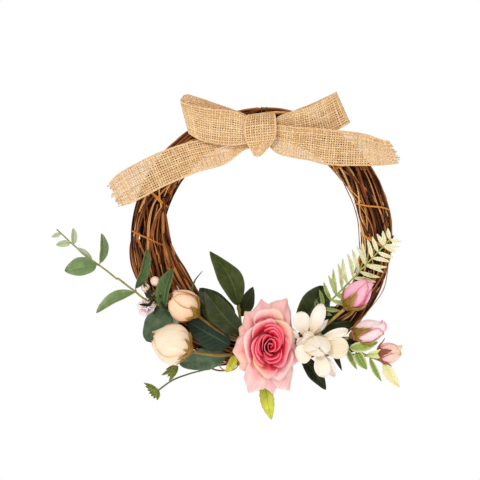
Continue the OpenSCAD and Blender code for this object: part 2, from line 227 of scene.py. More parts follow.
class Finish:
    """A new material. It reads what a piece's mesh carries: its three marks, and its skin coordinates, which
    are metres along the piece and around or across it."""

    def __init__(self, name, roughness):
        self.material = bpy.data.materials.new(name)
        self.material.use_nodes = True
        self.tree = self.material.node_tree
        self.shader = self.tree.nodes["Principled BSDF"]
        self.set(Roughness=roughness)
        colour = self.node("VertexColor")
        colour.layer_name = "marks"
        self.marks = self.node("SeparateColor", Color=colour.outputs[0]).outputs
        self.skin = self.node("Attribute")
        self.skin.attribute_name = "skin"

    def set(self, **values):
        """Sets values on the shader itself, with _ for each space in a socket's name."""
        for key, value in values.items():
            self.shader.inputs[key.replace("_", " ")].default_value = value

    def node(self, kind, operation=None, **sockets):
        made = self.tree.nodes.new("ShaderNode" + kind)
        if operation:
            made.operation = operation
        for key, value in sockets.items():
            socket = made.inputs[int(key[1:])] if key[1:].isdigit() else made.inputs[key]
            if isinstance(value, bpy.types.NodeSocket):
                self.tree.links.new(value, socket)
            else:
                socket.default_value = value
        return made

    def laid(self, scale):
        """Skin coordinates stretched to the scale, in waves per metre each way."""
        return self.node("Mapping", Vector=self.skin.outputs["Vector"], Scale=scale).outputs[0]

    def noise(self, scale, detail, **sockets):
        return self.node("TexNoise", Vector=self.laid(scale), Scale=1.0, Detail=detail, **sockets).outputs[0]

    def maths(self, operation, a, b=0.0):
        return self.node("Math", operation, i0=a, i1=b).outputs[0]

    def total(self, first, *parts):
        """Adds the parts to the first. Each is a value, or a value and its share."""
        for part in parts:
            if isinstance(part, tuple):
                part = self.maths("MULTIPLY", *part)
            first = self.maths("ADD", first, part)
        return first

    def colours(self, value, stops):
        """Colours by value: each stop is a place and a screen colour."""
        made = self.node("ValToRGB", i0=value)
        while len(made.color_ramp.elements) < len(stops):
            made.color_ramp.elements.new(0.5)
        for element, (place, rgb) in zip(made.color_ramp.elements, stops):
            element.position = place
            element.color = linear(rgb)
        return made.outputs[0]

    def blend(self, share, under, over):
        """A screen colour laid over other colours by a share."""
        made = self.node("Mix")
        made.data_type = "RGBA"
        self.tree.links.new(share, made.inputs[0])
        self.tree.links.new(under, made.inputs[6])
        made.inputs[7].default_value = linear(over)
        return made.outputs[2]

    def paint(self, colour):
        self.tree.links.new(colour, self.shader.inputs["Base Color"])

    def bump(self, height, strength, depth):
        made = self.node("Bump", Strength=strength, Distance=depth, Height=height)
        self.tree.links.new(made.outputs[0], self.shader.inputs["Normal"])


def linear(rgb):
    """A colour as it looks on a screen, 0 to 255, as the linear colour a shader takes."""
    return tuple(((c / 255 + 0.055) / 1.055) ** 2.4 if c > 10 else c / 3294 for c in rgb) + (1,)


def bark(name, stops, grain=1.0):
    """Bark with long streaks, blotches and fine rings across it. grain says how rough it is."""
    finish = Finish(name, 0.72)
    streaks = finish.noise((45, 1400, 1400), 3.0, Roughness=0.6)
    blotches = finish.noise((60, 60, 60), 2.0)
    rings = finish.noise((900, 500, 500), 2.0)
    finish.paint(finish.colours(finish.total(finish.marks[0], (streaks, 0.55), (blotches, 0.45), -0.5),
                                stops))
    finish.bump(finish.total(streaks, rings), 0.55 * grain, 0.6 * mm)
    finish.set(Specular_IOR_Level=0.25)
    return finish.material


# Its darkest stops serve as painted shade in the bundle's gaps, and its palest golden stops as painted
# highlights on the strands.
vine_bark = bark("vine_bark", [(0.0, (32, 12, 5)), (0.2, (84, 38, 14)), (0.42, (140, 76, 34)),
                               (0.62, (188, 118, 60)), (0.82, (218, 152, 80)), (1.0, (236, 186, 116))])


def wander(place, seed, size):
    """A slow random drift, from about -1 to 1."""
    return noise.noise(Vector((place / size, seed * 7.31, seed * 1.77))) * 1.6


def twig_round_ring(start, sweep, out, turn, r, seed):
    """A twig in the bundle: out is its share of the bundle's radius, and turn its place round it."""
    n = max(8, int(abs(sweep) * ring_r / twig_step))
    line, radii = [], []
    for k in range(n + 1):
        share = k / n
        angle = start + sweep * share
        length = share * abs(sweep) * ring_r
        spot = turn + 1.5 * wander(length, seed, 0.16) + 0.5 * wander(length, seed + 0.3, 0.05)
        reach = out * (1 + 0.2 * wander(length, seed + 0.6, 0.11)) + 0.11 * wander(length, seed + 0.9, 0.025)
        reach = max(0.0, min(1.02, reach)) * (bundle_r - 0.6 * r)
        lean = 1.0 + 0.12 * wander(angle * 0.1, 5.0, 0.06)
        radial = ring_r + reach * math.cos(spot) * lean + 0.0012 * wander(length, seed + 1.7, 0.4)
        line.append((radial * math.cos(angle), reach * math.sin(spot), radial * math.sin(angle)))
        bud = (length / bud_spacing + seed) % 1.0
        knuckle = 0.32 * math.exp(-((bud - 0.5) / 0.045) ** 2)
        taper = 1.0 - 0.42 * share
        radii.append(r * taper * (1 + knuckle + 0.07 * wander(length, seed + 2.2, 0.012)))
    return line, radii


inner = Rods()
for i in range(56):
    start = dice.uniform(0, 2 * math.pi)
    out = 0.70 * math.sqrt(dice.random())
    line, radii = twig_round_ring(start, dice.uniform(2.4, 4.6), out, dice.uniform(0, 6.28),
                                  dice.uniform(1.0, 1.9) * mm, i)
    # The inner twigs take only the darkest bark tints: painted shade in the deep gaps between the outer
    # strands.
    inner.add(line, radii, dice.uniform(0.0, 0.16), 7)
inner.piece("inner_twig_bundle", vine_bark, "twig", "inner_twigs")

outer = Rods()
for i in range(156):
    start = 2 * math.pi * (i * 0.618 % 1)
    thick = dice.choice([0.55, 0.62, 0.75, 0.9, 1.1, 1.45])
    line, radii = twig_round_ring(start, dice.choice([-1, 1]) * dice.uniform(1.6, 4.2),
                                  dice.uniform(0.8, 1.0),
                                  2 * math.pi * (i * 0.382 % 1) + dice.uniform(-0.2, 0.2), thick * mm,
                                  100 + i)
    # Strand tints run from dark to pale: partly the bark's own varied tone, and the palest strands are
    # painted highlights along the bundle.
    outer.add(line, radii, dice.choice([0.04, 0.14, 0.26, 0.40, 0.54, 0.74, 0.96]), 6)
outer.piece("outer_vine_strands", vine_bark, "twig", "outer_vines")


# ---------- Loose vines ----------
# At the lower left the outermost shoots leave the bundle: some cut across inside the ring,
# and a few thin ones bow outwards and leave gaps beside it. Broken tips stand off elsewhere.

def islands(node):
    """The separate solids of a CAD node, each as an array of points."""
    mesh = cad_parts[node].data
    points = np.array([v.co for v in mesh.vertices])
    key = np.unique(np.round(points * 20000).astype(int), axis=0, return_inverse=True)[1].ravel()
    parent = list(range(key.max() + 1))

    def top(i):
        while parent[i] != i:
            parent[i] = parent[parent[i]]
            i = parent[i]
        return i

    for face in mesh.polygons:
        vertices = [key[v] for v in face.vertices]
        for v in vertices[1:]:
            a, b = top(vertices[0]), top(v)
            if a != b:
                parent[a] = b
    groups = {}
    for i, k in enumerate(key):
        groups.setdefault(top(k), []).append(i)
    found = [points[g] for g in groups.values()]
    return sorted(found, key=lambda q: (round(q[:, 0].mean(), 4), round(q[:, 2].mean(), 4)))


def route(points, count=12):
    """The middle line of a CAD rod: the mean of its points in steps along its longest way."""
    spread = points - points.mean(0)
    axis = np.linalg.svd(spread, full_matrices=False)[2][0]
    along = spread @ axis
    edges = np.linspace(along.min(), along.max(), count + 1)
    line = [points[(along >= a - 1e-6) & (along <= b + 1e-6)].mean(0)
            for a, b in zip(edges, edges[1:]) if ((along >= a - 1e-6) & (along <= b + 1e-6)).any()]
    return np.array(line)


loose_lines = [route(p, 9) for p in islands("loose_vines")]
loose_lines = [line if line[0][2] > line[-1][2] else line[::-1] for line in loose_lines]
outward, across_1, across_2 = sorted(loose_lines, key=lambda line: line[:, 0].mean())


def on_ring(point, reach):
    """The point moved sideways in the face plane to the given distance from the crown's centre."""
    radius = math.hypot(point[0], point[2])
    return np.array([point[0] * reach / radius, point[1], point[2] * reach / radius])


loose = Rods()
for i in range(46):
    share = 1 - (i % 23 / 22) ** 1.4
    mix = dice.random()
    base = [on_ring(across_1[0] + np.array([0, 0, 22 * mm]), ring_r - 0.55 * bundle_r)]
    for a, b in zip(across_1, across_2):
        middle = a * (1 - mix) + b * mix
        base.append(middle * share + on_ring(middle, ring_r - 0.6 * bundle_r) * (1 - share))
    line = smooth_through([Vector(p) + Vector((dice.uniform(-0.8, 0.8), dice.uniform(-6, 4),
                                               dice.uniform(-0.8, 0.8))) * mm for p in base], 3.5 * mm)
    loose.add(line, np.linspace(1.0, 0.7, len(line)) * dice.choice([0.7, 0.85, 1.0, 1.3, 1.7]) * mm,
              dice.choice([0.1, 0.2, 0.3, 0.45, 0.6, 0.75]), 7)
for i in range(6):
    bow_out = [on_ring(outward[0] + np.array([0, 0, 34 * mm]), ring_r + 0.7 * bundle_r),
               on_ring(outward[0] + np.array([0, 0, 14 * mm]), ring_r + 0.9 * bundle_r)]
    for k, p in enumerate(outward):
        swell = math.sin(math.pi * (k + 1) / (len(outward) + 1))
        bow_out.append(on_ring(p, ring_r + 0.9 * bundle_r + (0.6 + 0.9 * i) * mm * swell))
    bow_out += [on_ring(outward[-1] - np.array([0, 0, 14 * mm]), ring_r + 0.8 * bundle_r)]
    line = smooth_through([Vector(p) + Vector((0, (i - 2) * 2 * mm, 0)) for p in bow_out], 3.5 * mm)
    loose.add(line, np.linspace(1.0, 0.6, len(line)) * mm * (0.7 + 0.1 * (i % 4)), 0.2 + 0.12 * (i % 4), 7)
for i, (low, wide) in enumerate([(-117, 16), (-121, 12), (-113, 20), (-119, 9)]):
    line = [((-39 + 3 * i + wide * math.cos(a)) * mm, (-6 - 2 * i) * mm,
             (low + 13 + (5 + i) * math.sin(a) - 5) * mm)
            for a in np.linspace(math.pi * 0.9, math.pi * 2.2, 26)]
    loose.add(line, (0.85 - 0.1 * i) * mm, 0.25 + 0.15 * i, 7)
broken_tips = [(-0.17, 0.32, 1.115, 0.9), (-0.20, 0.22, 1.15, 1.2), (0.62, 0.25, 1.14, 0.9),
               (1.75, 0.2, 1.15, 1.0), (3.55, 0.3, 1.14, 0.9), (4.1, 0.22, 1.13, 1.0), (4.35, 0.3, 0.86, 0.9),
               (2.2, 0.24, 1.12, 1.0), (5.2, 0.26, 0.87, 1.0), (0.95, 0.2, 0.86, 0.8), (4.0, 0.35, 1.16, 0.8),
               (5.75, 0.3, 1.12, 1.1)]
for i, (angle, sweep, reach, thick) in enumerate(broken_tips):
    line = []
    for k in range(14):
        t = k / 13
        radial = ring_r * (1 + (reach - 1) * (0.72 + 0.28 * t ** 2))
        line.append((radial * math.cos(angle + sweep * t), (4 - i % 7) * 1.6 * mm,
                     radial * math.sin(angle + sweep * t)))
    loose.add(line, np.linspace(1.25, 0.6, 14) * thick * mm, 0.3 + 0.08 * (i % 5), 7)
loose.piece("loose_vine_strands", vine_bark, "twig", "loose_vines")


# ---------- Binding vines ----------
# A few thin orange-tan shoots are wound once or twice round the bundle to hold it. Each lies
# tight over the twigs at a slant, and its ends are tucked in at the back.

tendril_bark = bark("tendril_bark", [(0.0, (150, 82, 28)), (0.45, (205, 128, 52)), (1.0, (240, 186, 108))],
                    0.5)
bindings = Rods()
for i, hoop in enumerate(islands("binding_vines")):
    centre = (hoop.min(0) + hoop.max(0)) / 2
    normal = np.linalg.svd(hoop - hoop.mean(0), full_matrices=False)[2][2]
    normal[1] = 0
    normal /= np.linalg.norm(normal)
    across = np.cross(normal, (0, 1, 0))
    slant = abs(np.dot(across, centre)) / math.hypot(centre[0], centre[2])
    for turn in range(2 if i % 2 else 1):
        line = []
        for k in range(61):
            a = 2 * math.pi * k / 60 * 1.03 + 1.4
            hug = bundle_r * (1.02 + 0.015 * math.sin(3 * a + i) + 0.02 * wander(a, i + turn, 0.5))
            slope = (0.9 * turn * math.cos(a + i) + 0.6 * wander(a, i + 9, 1.2)) * 1.5 * mm
            line.append(centre + across * hug / slant * math.cos(a) + np.array([0, hug * math.sin(a), 0])
                        + normal * slope)
        bindings.add(line, (0.8 - 0.2 * turn) * mm, 0.35 + 0.15 * (i % 3), 8)
bindings.piece("binding_tendrils", tendril_bark, "binding_vine", "binding_vines")


# ---------- Burlap bow ----------
# One jute burlap ribbon, plain woven and open, folded into a flat bow: two loops, two tails and
# a pinched knot over their middle. Its cut ends fray. Two thin wires tie it to the ring.

pitch = 2.15 * mm
thread_half_width = 0.705 * mm
thread_flatness = 0.3
knot_low, knot_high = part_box("bow_knot")
knot = (knot_low + knot_high) / 2

jute = Finish("jute_burlap", 0.86)
fibre = jute.noise((260, 2600, 2600), 3.0)
slubs = jute.noise((55, 55, 55), 2.0)
twist = jute.node("TexWave", Vector=jute.laid((700, 500, 500)), Scale=1.0, Distortion=1.5).outputs["Fac"]
jute.paint(jute.colours(jute.total(fibre, slubs, jute.marks[0], -1.0), (
    (0.0, (196, 146, 92)), (0.3, (228, 182, 128)), (0.55, (246, 208, 158)), (0.8, (255, 226, 182)),
    (1.0, (255, 238, 206)))))
jute.bump(jute.total(fibre, twist), 0.5, 0.3 * mm)
jute.set(Sheen_Weight=0.1, Specular_IOR_Level=0.15)


def ribbon_surface(stations):
    """A ribbon through its stations. Each is (top edge, bottom edge, bulge) in millimetres: where its edges
    lie from the knot's middle, and how far the cloth between them stands off. Returns the ribbon's length,
    its width and its surface."""
    middles = [(Vector(top) + Vector(bottom)) / 2 for top, bottom, _ in stations]
    reached = np.concatenate([[0], np.cumsum([(b - a).length for a, b in zip(middles, middles[1:])])]) * mm
    widest = max((Vector(top) - Vector(bottom)).length for top, bottom, _ in stations) * mm

    def at(values, where):
        """The values at those places along the ribbon, smoothly between its stations."""
        values = np.asarray(values, float)
        place = np.clip(np.searchsorted(reached, where, side="right") - 1, 0, len(reached) - 2)
        t = ((where - reached[place]) / (reached[place + 1] - reached[place]))[:, None]
        p0, p1 = values[np.maximum(place - 1, 0)], values[place]
        p2, p3 = values[place + 1], values[np.minimum(place + 2, len(values) - 1)]
        return 0.5 * (2 * p1 + (p2 - p0) * t + (2 * p0 - 5 * p1 + 4 * p2 - p3) * t * t
                      + (3 * p1 - p0 - 3 * p2 + p3) * t ** 3)

    tops = [list(knot + Vector(top) * mm) for top, _, _ in stations]
    bottoms = [list(knot + Vector(bottom) * mm) for _, bottom, _ in stations]
    bulges = [[bulge * mm] for _, _, bulge in stations]

    def surface(u, v):
        """u in metres along the ribbon, v from 0 at its top edge to 1: points and their normals."""
        a, b, h = at(tops, u), at(bottoms, u), at(bulges, u)
        da = at(tops, u + 0.4 * mm) - at(tops, u - 0.4 * mm)
        db = at(bottoms, u + 0.4 * mm) - at(bottoms, u - 0.4 * mm)
        v = np.asarray(v)[:, None]
        normal = np.cross(da * (1 - v) + db * v, b - a)
        normal /= np.linalg.norm(normal, axis=1)[:, None] + 1e-12
        ripple = 4 * v * (1 - v)
        return a * (1 - v) + b * v + normal * h * ripple, normal

    return reached[-1], widest, surface


def weave(name, node, stations, seed, frayed=True):
    """Burlap threads laid over and under each other on the ribbon's surface."""
    long, wide, surface = ribbon_surface(stations)
    chance = random.Random(seed)
    warp_count = round(wide / pitch)
    weft_count = int(long / pitch)
    fray = 4.5 * mm if frayed else 0.0
    weave_lift = 0.30 * mm
    rods = Rods()
    for j in range(warp_count):
        v0 = (j + 0.5) / warp_count
        extra = chance.uniform(0.2, 0.9) * fray
        u = np.arange(0, long + 1e-9, pitch / 2)
        v = np.array([v0 + 0.10 / warp_count * wander(x, seed + j, 0.02) for x in u])
        points, normal = surface(u, v)
        lift = weave_lift * np.cos(math.pi * (u / pitch - 0.5) + math.pi * j)
        points = points + normal * lift[:, None]
        if frayed:
            along = points[-1] - points[-2]
            along /= np.linalg.norm(along)
            drift = np.array([chance.uniform(-0.3, 0.3), chance.uniform(-0.35, 0.35),
                              chance.uniform(-0.3, 0.3)])
            tail = [points[-1] + (along + drift * t) * extra * t for t in (0.35, 0.7, 1.0)]
            points = np.concatenate([points, tail])
            normal = np.concatenate([normal, [normal[-1]] * 3])
            u = np.concatenate([u, u[-1] + np.array([0.35, 0.7, 1.0]) * extra])
        uneven = np.array([1 + 0.13 * wander(x, seed + j + 50, 0.01) for x in u])
        width = thread_half_width * chance.uniform(0.85, 1.12) * uneven
        rods.add(points, width, chance.uniform(0.32, 0.62), 6, thread_flatness, normal)
    for k in range(weft_count):
        u0 = (k + 0.5) * pitch
        if frayed and u0 > long - 2.2 * pitch * chance.uniform(0.3, 1.0):
            continue
        slack = 0.35 / warp_count
        v = np.linspace(-slack, 1 + slack, 2 * warp_count + 1)
        sway = np.array([0.10 * pitch * wander(x, seed + k + 200, 0.3) for x in v])
        points, normal = surface(np.clip(u0 + sway, 0, long), np.clip(v, 0, 1))
        lift = -weave_lift * np.cos(math.pi * (v * warp_count - 0.5) + math.pi * k)
        points = points + normal * lift[:, None]
        uneven = np.array([1 + 0.13 * wander(x, seed + k + 90, 0.3) for x in v])
        width = thread_half_width * chance.uniform(0.85, 1.12) * uneven
        rods.add(points, width, chance.uniform(0.32, 0.62), 6, thread_flatness, normal)
    for edge in (0.0, 1.0):
        for side in (0, 1):
            u = np.arange(0, long, pitch / 2)
            points, normal = surface(u, np.full(len(u), edge))
            inward, _ = surface(u, np.full(len(u), 0.5))
            inward = (inward - points) / (np.linalg.norm(inward - points, axis=1)[:, None] + 1e-9)
            sway = 0.35 * mm * np.cos(2 * math.pi * u / (2.6 * pitch) + math.pi * side)
            rods.add(points + inward * (0.2 * mm + 0.3 * sway[:, None]) + normal * sway[:, None],
                     0.42 * mm, 0.55, 5)
    piece = rods.piece(name, jute.material, "burlap", node)


# The stretches of ribbon by their stations. A tail runs from the knot outwards, a loop runs out along its
# front and back along its rear, and the knot's wrap runs over the top, down its front and up behind.
weave("bow_left_loop_weave", "bow_left_loop", [
    ((-10, -1, 9), (-9, -1, -7), 1.0), ((-17, -4, 14), (-17, -3, -10), 2.0),
    ((-28, -5, 19), (-29, -4, -11.5), 1.5), ((-42, -4, 20.5), (-44, -3.5, -10), 1.0),
    ((-57, -2, 22.5), (-55, -2, -7.5), 0.6), ((-69, 0.5, 25.5), (-64, 0.5, -3), 0.3),
    ((-74.5, 3, 28), (-67.5, 3, 0), 0.2), ((-74, 6.5, 31), (-67, 6, 1.5), 0.2),
    ((-69.5, 9, 34.5), (-62, 8, 4), 0.3), ((-57, 8.5, 31), (-50, 7.5, 3), 0.8),
    ((-44, 7.5, 26.5), (-38, 6.5, -1), 0.8), ((-30, 5, 21.5), (-26, 4, -4), 0.5),
    ((-19, 3, 17), (-16, 3, -4), 0.3), ((-8, 2, 11), (-8, 2, -5), 0.0)], 3, frayed=False)
weave("bow_right_loop_weave", "bow_right_loop", [
    ((8, 1, 10), (8, 1, -6), 0.8), ((14, 0, 15), (14, 0, -8), 1.2), ((25, -1, 18.5), (26, -1, -8), 1.2),
    ((36, -1, 21.5), (40, -1, -6.5), 0.8), ((47, 0, 26.5), (54, 0, -2.5), 0.5),
    ((57, 2, 32), (67, 2, 3.5), 0.2), ((63.5, 4.5, 36), (75.5, 4.5, 8.5), 0.0),
    ((63, 7.5, 36), (75, 7.5, 8.5), 0.0), ((55, 8.5, 32), (65, 8.5, 4), 0.3), ((42, 8, 26), (48, 8, -1), 0.6),
    ((27, 6.5, 20), (31, 6.5, -6), 0.4), ((15, 4, 15), (16, 4, -6), 0.2), ((7, 3, 10), (7, 3, -5), 0.0)], 5,
      frayed=False)
weave("bow_right_tail_weave", "bow_right_tail", [
    ((6, -3, 5), (4, -3, -12), 1.0), ((13, -5, 6.5), (12, -4, -19), 1.6),
    ((27, -6, 4.5), (25, -5, -22.5), 1.2), ((42, -6, 4), (40, -5.5, -25), 0.8),
    ((56, -5, 2.6), (53, -5, -28.5), 0.6), ((74, -4, 1), (72, -4, -29.5), 0.8),
    ((90, -3, -1.5), (90, -3, -29.5), 0.6), ((99, -1, -4.5), (103, -2, -29.3), 1.6),
    ((106, 0, -6.8), (112, -1, -28.5), 1.4), ((110, 0, -7.2), (119, -1, -27.5), 0.5)], 7)
weave("bow_left_tail_weave", "bow_left_tail", [
    ((-11, 1, 0), (-9, 1, -13), 0.8), ((-20, 1, -1), (-19, 1, -16), 1.2),
    ((-38, 1.5, -3), (-33, 1, -27), 1.2), ((-55, 2, -6), (-46, 1.5, -31.5), 0.9),
    ((-69, 2.5, -9), (-59, 2, -35), 0.7), ((-86, 3, -14.5), (-75, 2.5, -41.5), 0.8),
    ((-104, 3.5, -22), (-92, 3, -49), 1.2), ((-121, 4, -31), (-108, 4, -57.5), 1.6),
    ((-132, 4.5, -38), (-118.5, 5, -62.5), 1.8), ((-138, 6, -44), (-128.5, 5.5, -65.5), 1.2)], 9)
weave("bow_knot_weave", "bow_knot", [
    ((-11, 7, 12), (8, 7, 13), 0.0), ((-13, 2, 15.5), (8.5, 2, 16.5), 0.5),
    ((-15.5, -3.5, 14.5), (9.5, -3.5, 15.5), 1.5), ((-17.5, -7, 9), (10, -7, 11), 2.6),
    ((-18, -8.5, 0), (10.5, -8.5, 3), 3.2), ((-16.5, -8, -8), (9.5, -8, -5), 2.8),
    ((-12.5, -6.5, -15), (4, -6.5, -13), 2.0), ((-8.8, -3.5, -20.5), (-3, -3.5, -20), 0.8),
    ((-8, 1, -18.5), (-2, 1, -18), 0.3), ((-8, 5, -12), (2, 5, -11), 0.0), ((-8, 7, -2), (5, 7, 0), 0.0)], 13,
      frayed=False)

# The ribbon's gathered middle, which the knot is wrapped round
gathers = Rods()
for i in range(6):
    rise, depth = (i - 2.5) * 3.2, 2.5 + 1.5 * (i % 2)
    fold = [knot + Vector(place) * mm for place in ((-10, depth, 2 + rise), (1, depth + 1, 2 + 0.6 * rise),
                                                    (12, depth, 3 + rise))]
    gathers.add(smooth_through(fold, 1.2 * mm), 2.4 * mm, 0.45 + 0.05 * (i % 2), 14)
gathers.piece("bow_gathered_middle", jute.material, "burlap")

tie_wire = Finish("green_tie_wire", 0.45)
enamel = tie_wire.node("TexNoise", Scale=900.0, Detail=2.0).outputs[0]
tie_wire.paint(tie_wire.colours(enamel, ((0.3, (48, 62, 34)), (0.7, (84, 98, 58)))))
tie_wire.set(Metallic=0.4)
wires = Rods()
for i, hoop in enumerate(islands("bow_wires")):
    centre = (hoop.min(0) + hoop.max(0)) / 2
    radius = (hoop[:, 1].max() - hoop[:, 1].min()) / 2 - 0.6 * mm
    loop, twisted_end = [], []
    for a in np.linspace(0, 2 * math.pi, 49):
        front = max(0.0, -math.cos(a))
        loop.append(centre + np.array([0.8 * mm * math.sin(a), radius * math.cos(a) - 6 * mm * front ** 8,
                                       radius * math.sin(a) - 5 * mm * front ** 4]))
    for t in np.linspace(0, 1, 40):
        curl = t * 22 + 3 * i
        twisted_end.append(centre + np.array([(1 - 2 * i) * 3 * mm * t + 0.9 * mm * math.sin(curl),
                                              radius + 1.0 * mm * math.cos(curl), -14 * mm * t]))
    wires.add(loop, 0.5 * mm, 0.5, 8)
    wires.add(twisted_end, 0.5 * mm, 0.5, 8)
wires.piece("bow_tie_wires", tie_wire.material, "tie_wire", "bow_wires")


# ---------- Rose ----------
# A large artificial rose, heat-pressed from thin dyed cloth. Rolled petals form its crimson heart,
# cupped pink ones stand round it, and pale pointed outer petals roll back. They are glued to a cup.

rose_low, rose_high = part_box("rose_outer_petals")
rose_foot = Vector(((rose_low.x + rose_high.x) / 2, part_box("rose_heart")[1].y,
                    (rose_low.z + rose_high.z) / 2))
rose_lean = math.radians(9)
rose_face = Vector((math.sin(rose_lean), -math.cos(rose_lean), 0))
rose_side = Vector((math.cos(rose_lean), math.sin(rose_lean), 0))
rose_squeeze = (rose_high.x - rose_low.x) / (rose_high.z - rose_low.z) * 0.97


class Sheets:
    """Collects thin curved sheets, such as petals and leaves, each with two faces and a rim."""

    def __init__(self):
        self.points, self.faces, self.marks, self.skin, self.count = [], [], [], [], 0

    def add(self, grid, marks, thick):
        grid = np.asarray(grid, float)
        m, n = grid.shape[:2]
        du, dv = np.gradient(grid, axis=0), np.gradient(grid, axis=1)
        normal = np.cross(du, dv)
        size = np.linalg.norm(normal, axis=2)[..., None]
        normal = np.where(size > 1e-14, normal / (size + 1e-18), 0)
        middle = normal.mean((0, 1))
        middle = middle / (np.linalg.norm(middle) + 1e-12)
        normal = np.where(size > 1e-14, normal, middle)
        long = np.concatenate([[0], np.cumsum(np.linalg.norm(np.diff(grid[:, n // 2], axis=0), axis=1))])
        cross = np.linalg.norm(grid - grid[:, n // 2:n // 2 + 1], axis=2) * np.sign(np.arange(n) - n // 2)
        four = np.ones((m, n, 4))
        four[..., :3] = marks
        for half in (0.5, -0.5):
            self.points.append((grid + normal * thick * half).reshape(-1, 3))
            self.marks.append(four.reshape(-1, 4))
            self.skin.append(np.stack([np.broadcast_to(long[:, None], (m, n)), cross,
                                       np.full((m, n), half * thick + 0.01 * len(self.skin))],
                                      -1).reshape(-1, 3))
        k, j = np.meshgrid(np.arange(m - 1), np.arange(n - 1), indexing="ij")
        a = self.count + k * n + j
        b = a + m * n
        self.faces += np.stack([a, a + n, a + n + 1, a + 1], -1).reshape(-1, 4).tolist()
        self.faces += np.stack([b, b + 1, b + n + 1, b + n], -1).reshape(-1, 4).tolist()
        edge = ([k * n for k in range(m)] + [(m - 1) * n + j for j in range(1, n)]
                + [k * n + n - 1 for k in range(m - 2, -1, -1)] + list(range(n - 2, 0, -1)))
        for p, q in zip(edge, edge[1:] + edge[:1]):
            self.faces.append([self.count + q, self.count + p, self.count + p + m * n,
                               self.count + q + m * n])
        self.count += 2 * m * n

    def form(self, rows, columns, shape, thick):
        """Adds a sheet by its shape, which gives a point and its marks for t, from 0 to 1 along the sheet,
        and s, from -1 to 1 across it."""
        grid, marks = np.empty((rows, columns, 3)), np.empty((rows, columns, 3))
        for i in range(rows):
            for j in range(columns):
                grid[i, j], marks[i, j] = shape(i / (rows - 1), 2 * j / (columns - 1) - 1)
        self.add(grid, marks, thick)

    piece = Rods.piece


def petal_cloth(name, stops, warm, roughness=0.78):
    """Pressed, dyed petal cloth with fine ribs. The first mark is its place in the dye, and the second
    how much of the warm colour lies over it."""
    finish = Finish(name, roughness)
    cloud = finish.noise((90, 170, 60), 2.0)
    ribs = finish.noise((70, 900, 60), 2.0)
    threads = finish.noise((2600, 2600, 600), 1.0)
    dye = finish.colours(finish.total(finish.marks[0], (cloud, 0.22), (ribs, 0.26), -0.24), stops)
    finish.paint(finish.blend(finish.marks[1], dye, warm))
    finish.bump(finish.total(ribs, (threads, 0.35)), 0.8, 0.7 * mm)
    finish.set(Sheen_Weight=0.1, Sheen_Roughness=0.4, Specular_IOR_Level=0.15, Subsurface_Weight=0.08,
               Subsurface_Scale=2 * mm)
    return finish.material


rose_cloth = petal_cloth("rose_cloth", [(0.0, (196, 6, 26)), (0.18, (246, 18, 52)), (0.36, (255, 66, 98)),
                                        (0.54, (255, 132, 150)), (0.74, (255, 182, 186)),
                                        (1.0, (255, 224, 218))], (255, 216, 146))


def rose_point(out, angle, height):
    return (rose_foot + rose_side * (out * math.cos(angle) * rose_squeeze)
            + Vector((0, 0, out * math.sin(angle))) + rose_face * height)


def cupped_petal(sheets, middle, spread, rim, top, foot, dye, flare, seed, swirl=1.0, cream=0.0):
    """A petal that stands round the heart. rim is its radius at the top, and top how far it stands out.
    Its dye runs from foot to rim, a painted highlight lightens its top rim, and cream tints the side that its
    sign gives."""
    lean = random.Random(seed).uniform(-0.5, 0.5)

    def shape(k, s):
        t = k * (1 - 0.16 * abs(s) ** 3 + 0.03 * math.sin(5 * s + seed) + 0.05 * lean * s)
        angle = middle + spread * s * (0.62 + 0.38 * t ** 0.5)
        roll = max(0.0, t - 0.76) / 0.24
        out = foot + (rim - foot) * t ** 0.75 + swirl * s * mm + flare * roll ** 2 * mm
        out += 0.5 * mm * math.sin(3 * angle + seed) * t
        height = 2 * mm + (top - 2 * mm) * t ** 0.85 - flare * 0.55 * roll ** 2.2 * mm
        # The last rows up to the rim are painted lighter: a painted highlight on the rolled rim.
        painted_rim_highlight = 0.24 * max(0.0, k - 0.88) / 0.12
        patch = max(0.0, t - 0.35) * (0.5 + 0.5 * s * math.copysign(1, cream)) ** 1.5
        return rose_point(out, angle, height), (dye[0] + (dye[1] - dye[0]) * t ** 2.2 + painted_rim_highlight,
                                                abs(cream) * patch, 0.5)

    sheets.form(13, 17, shape, 0.45 * mm)


heart = Sheets()
for i, (rim, top, spread, foot) in enumerate([(1.6, 27.0, 2.6, 0.6), (3.0, 28.0, 2.2, 1.2),
                                              (4.4, 28.6, 1.9, 1.8), (5.8, 29.0, 1.7, 2.6),
                                              (7.2, 29.2, 1.6, 3.2)]):
    cupped_petal(heart, 2.3 * i + 0.6, spread, rim * mm, top * mm, foot * mm, (0.10, 0.24 + 0.02 * i), 0.8, i,
                 0.9)
heart.piece("rose_rolled_heart", rose_cloth, "rose_deep_pink", "rose_heart")

inner_cup = Sheets()
for i in range(8):
    rim = 8.6 + 1.05 * i
    cupped_petal(inner_cup, 2.25 * i + 0.2, 1.15 - 0.03 * i, rim * mm, (28.6 - 0.45 * i) * mm,
                 0.42 * rim * mm, (0.13 + 0.01 * i, 0.28 + 0.01 * i), 1.5 + 0.1 * i, 20 + i, 1.0)
inner_cup.piece("rose_inner_petal_cloth", rose_cloth, "rose_deep_pink", "rose_inner_petals")

middle_cup = Sheets()
for i in range(9):
    rim = 17.6 + 1.45 * i
    cupped_petal(middle_cup, 2.42 * i + 1.0, 0.92 - 0.02 * i, rim * mm, (25.2 - 0.8 * i) * mm,
                 0.40 * rim * mm, (0.20 + 0.035 * i, 0.36 + 0.075 * min(i, 6)), 2.6 + 0.25 * i, 40 + i, 1.2,
                 cream=(0.1, 0.1, 0.1, 0.1, -1.7, 1.5, 0.1, 0.3, -1.0)[i])
middle_cup.piece("rose_middle_petal_cloth", rose_cloth, "rose_pink", "rose_middle_petals")


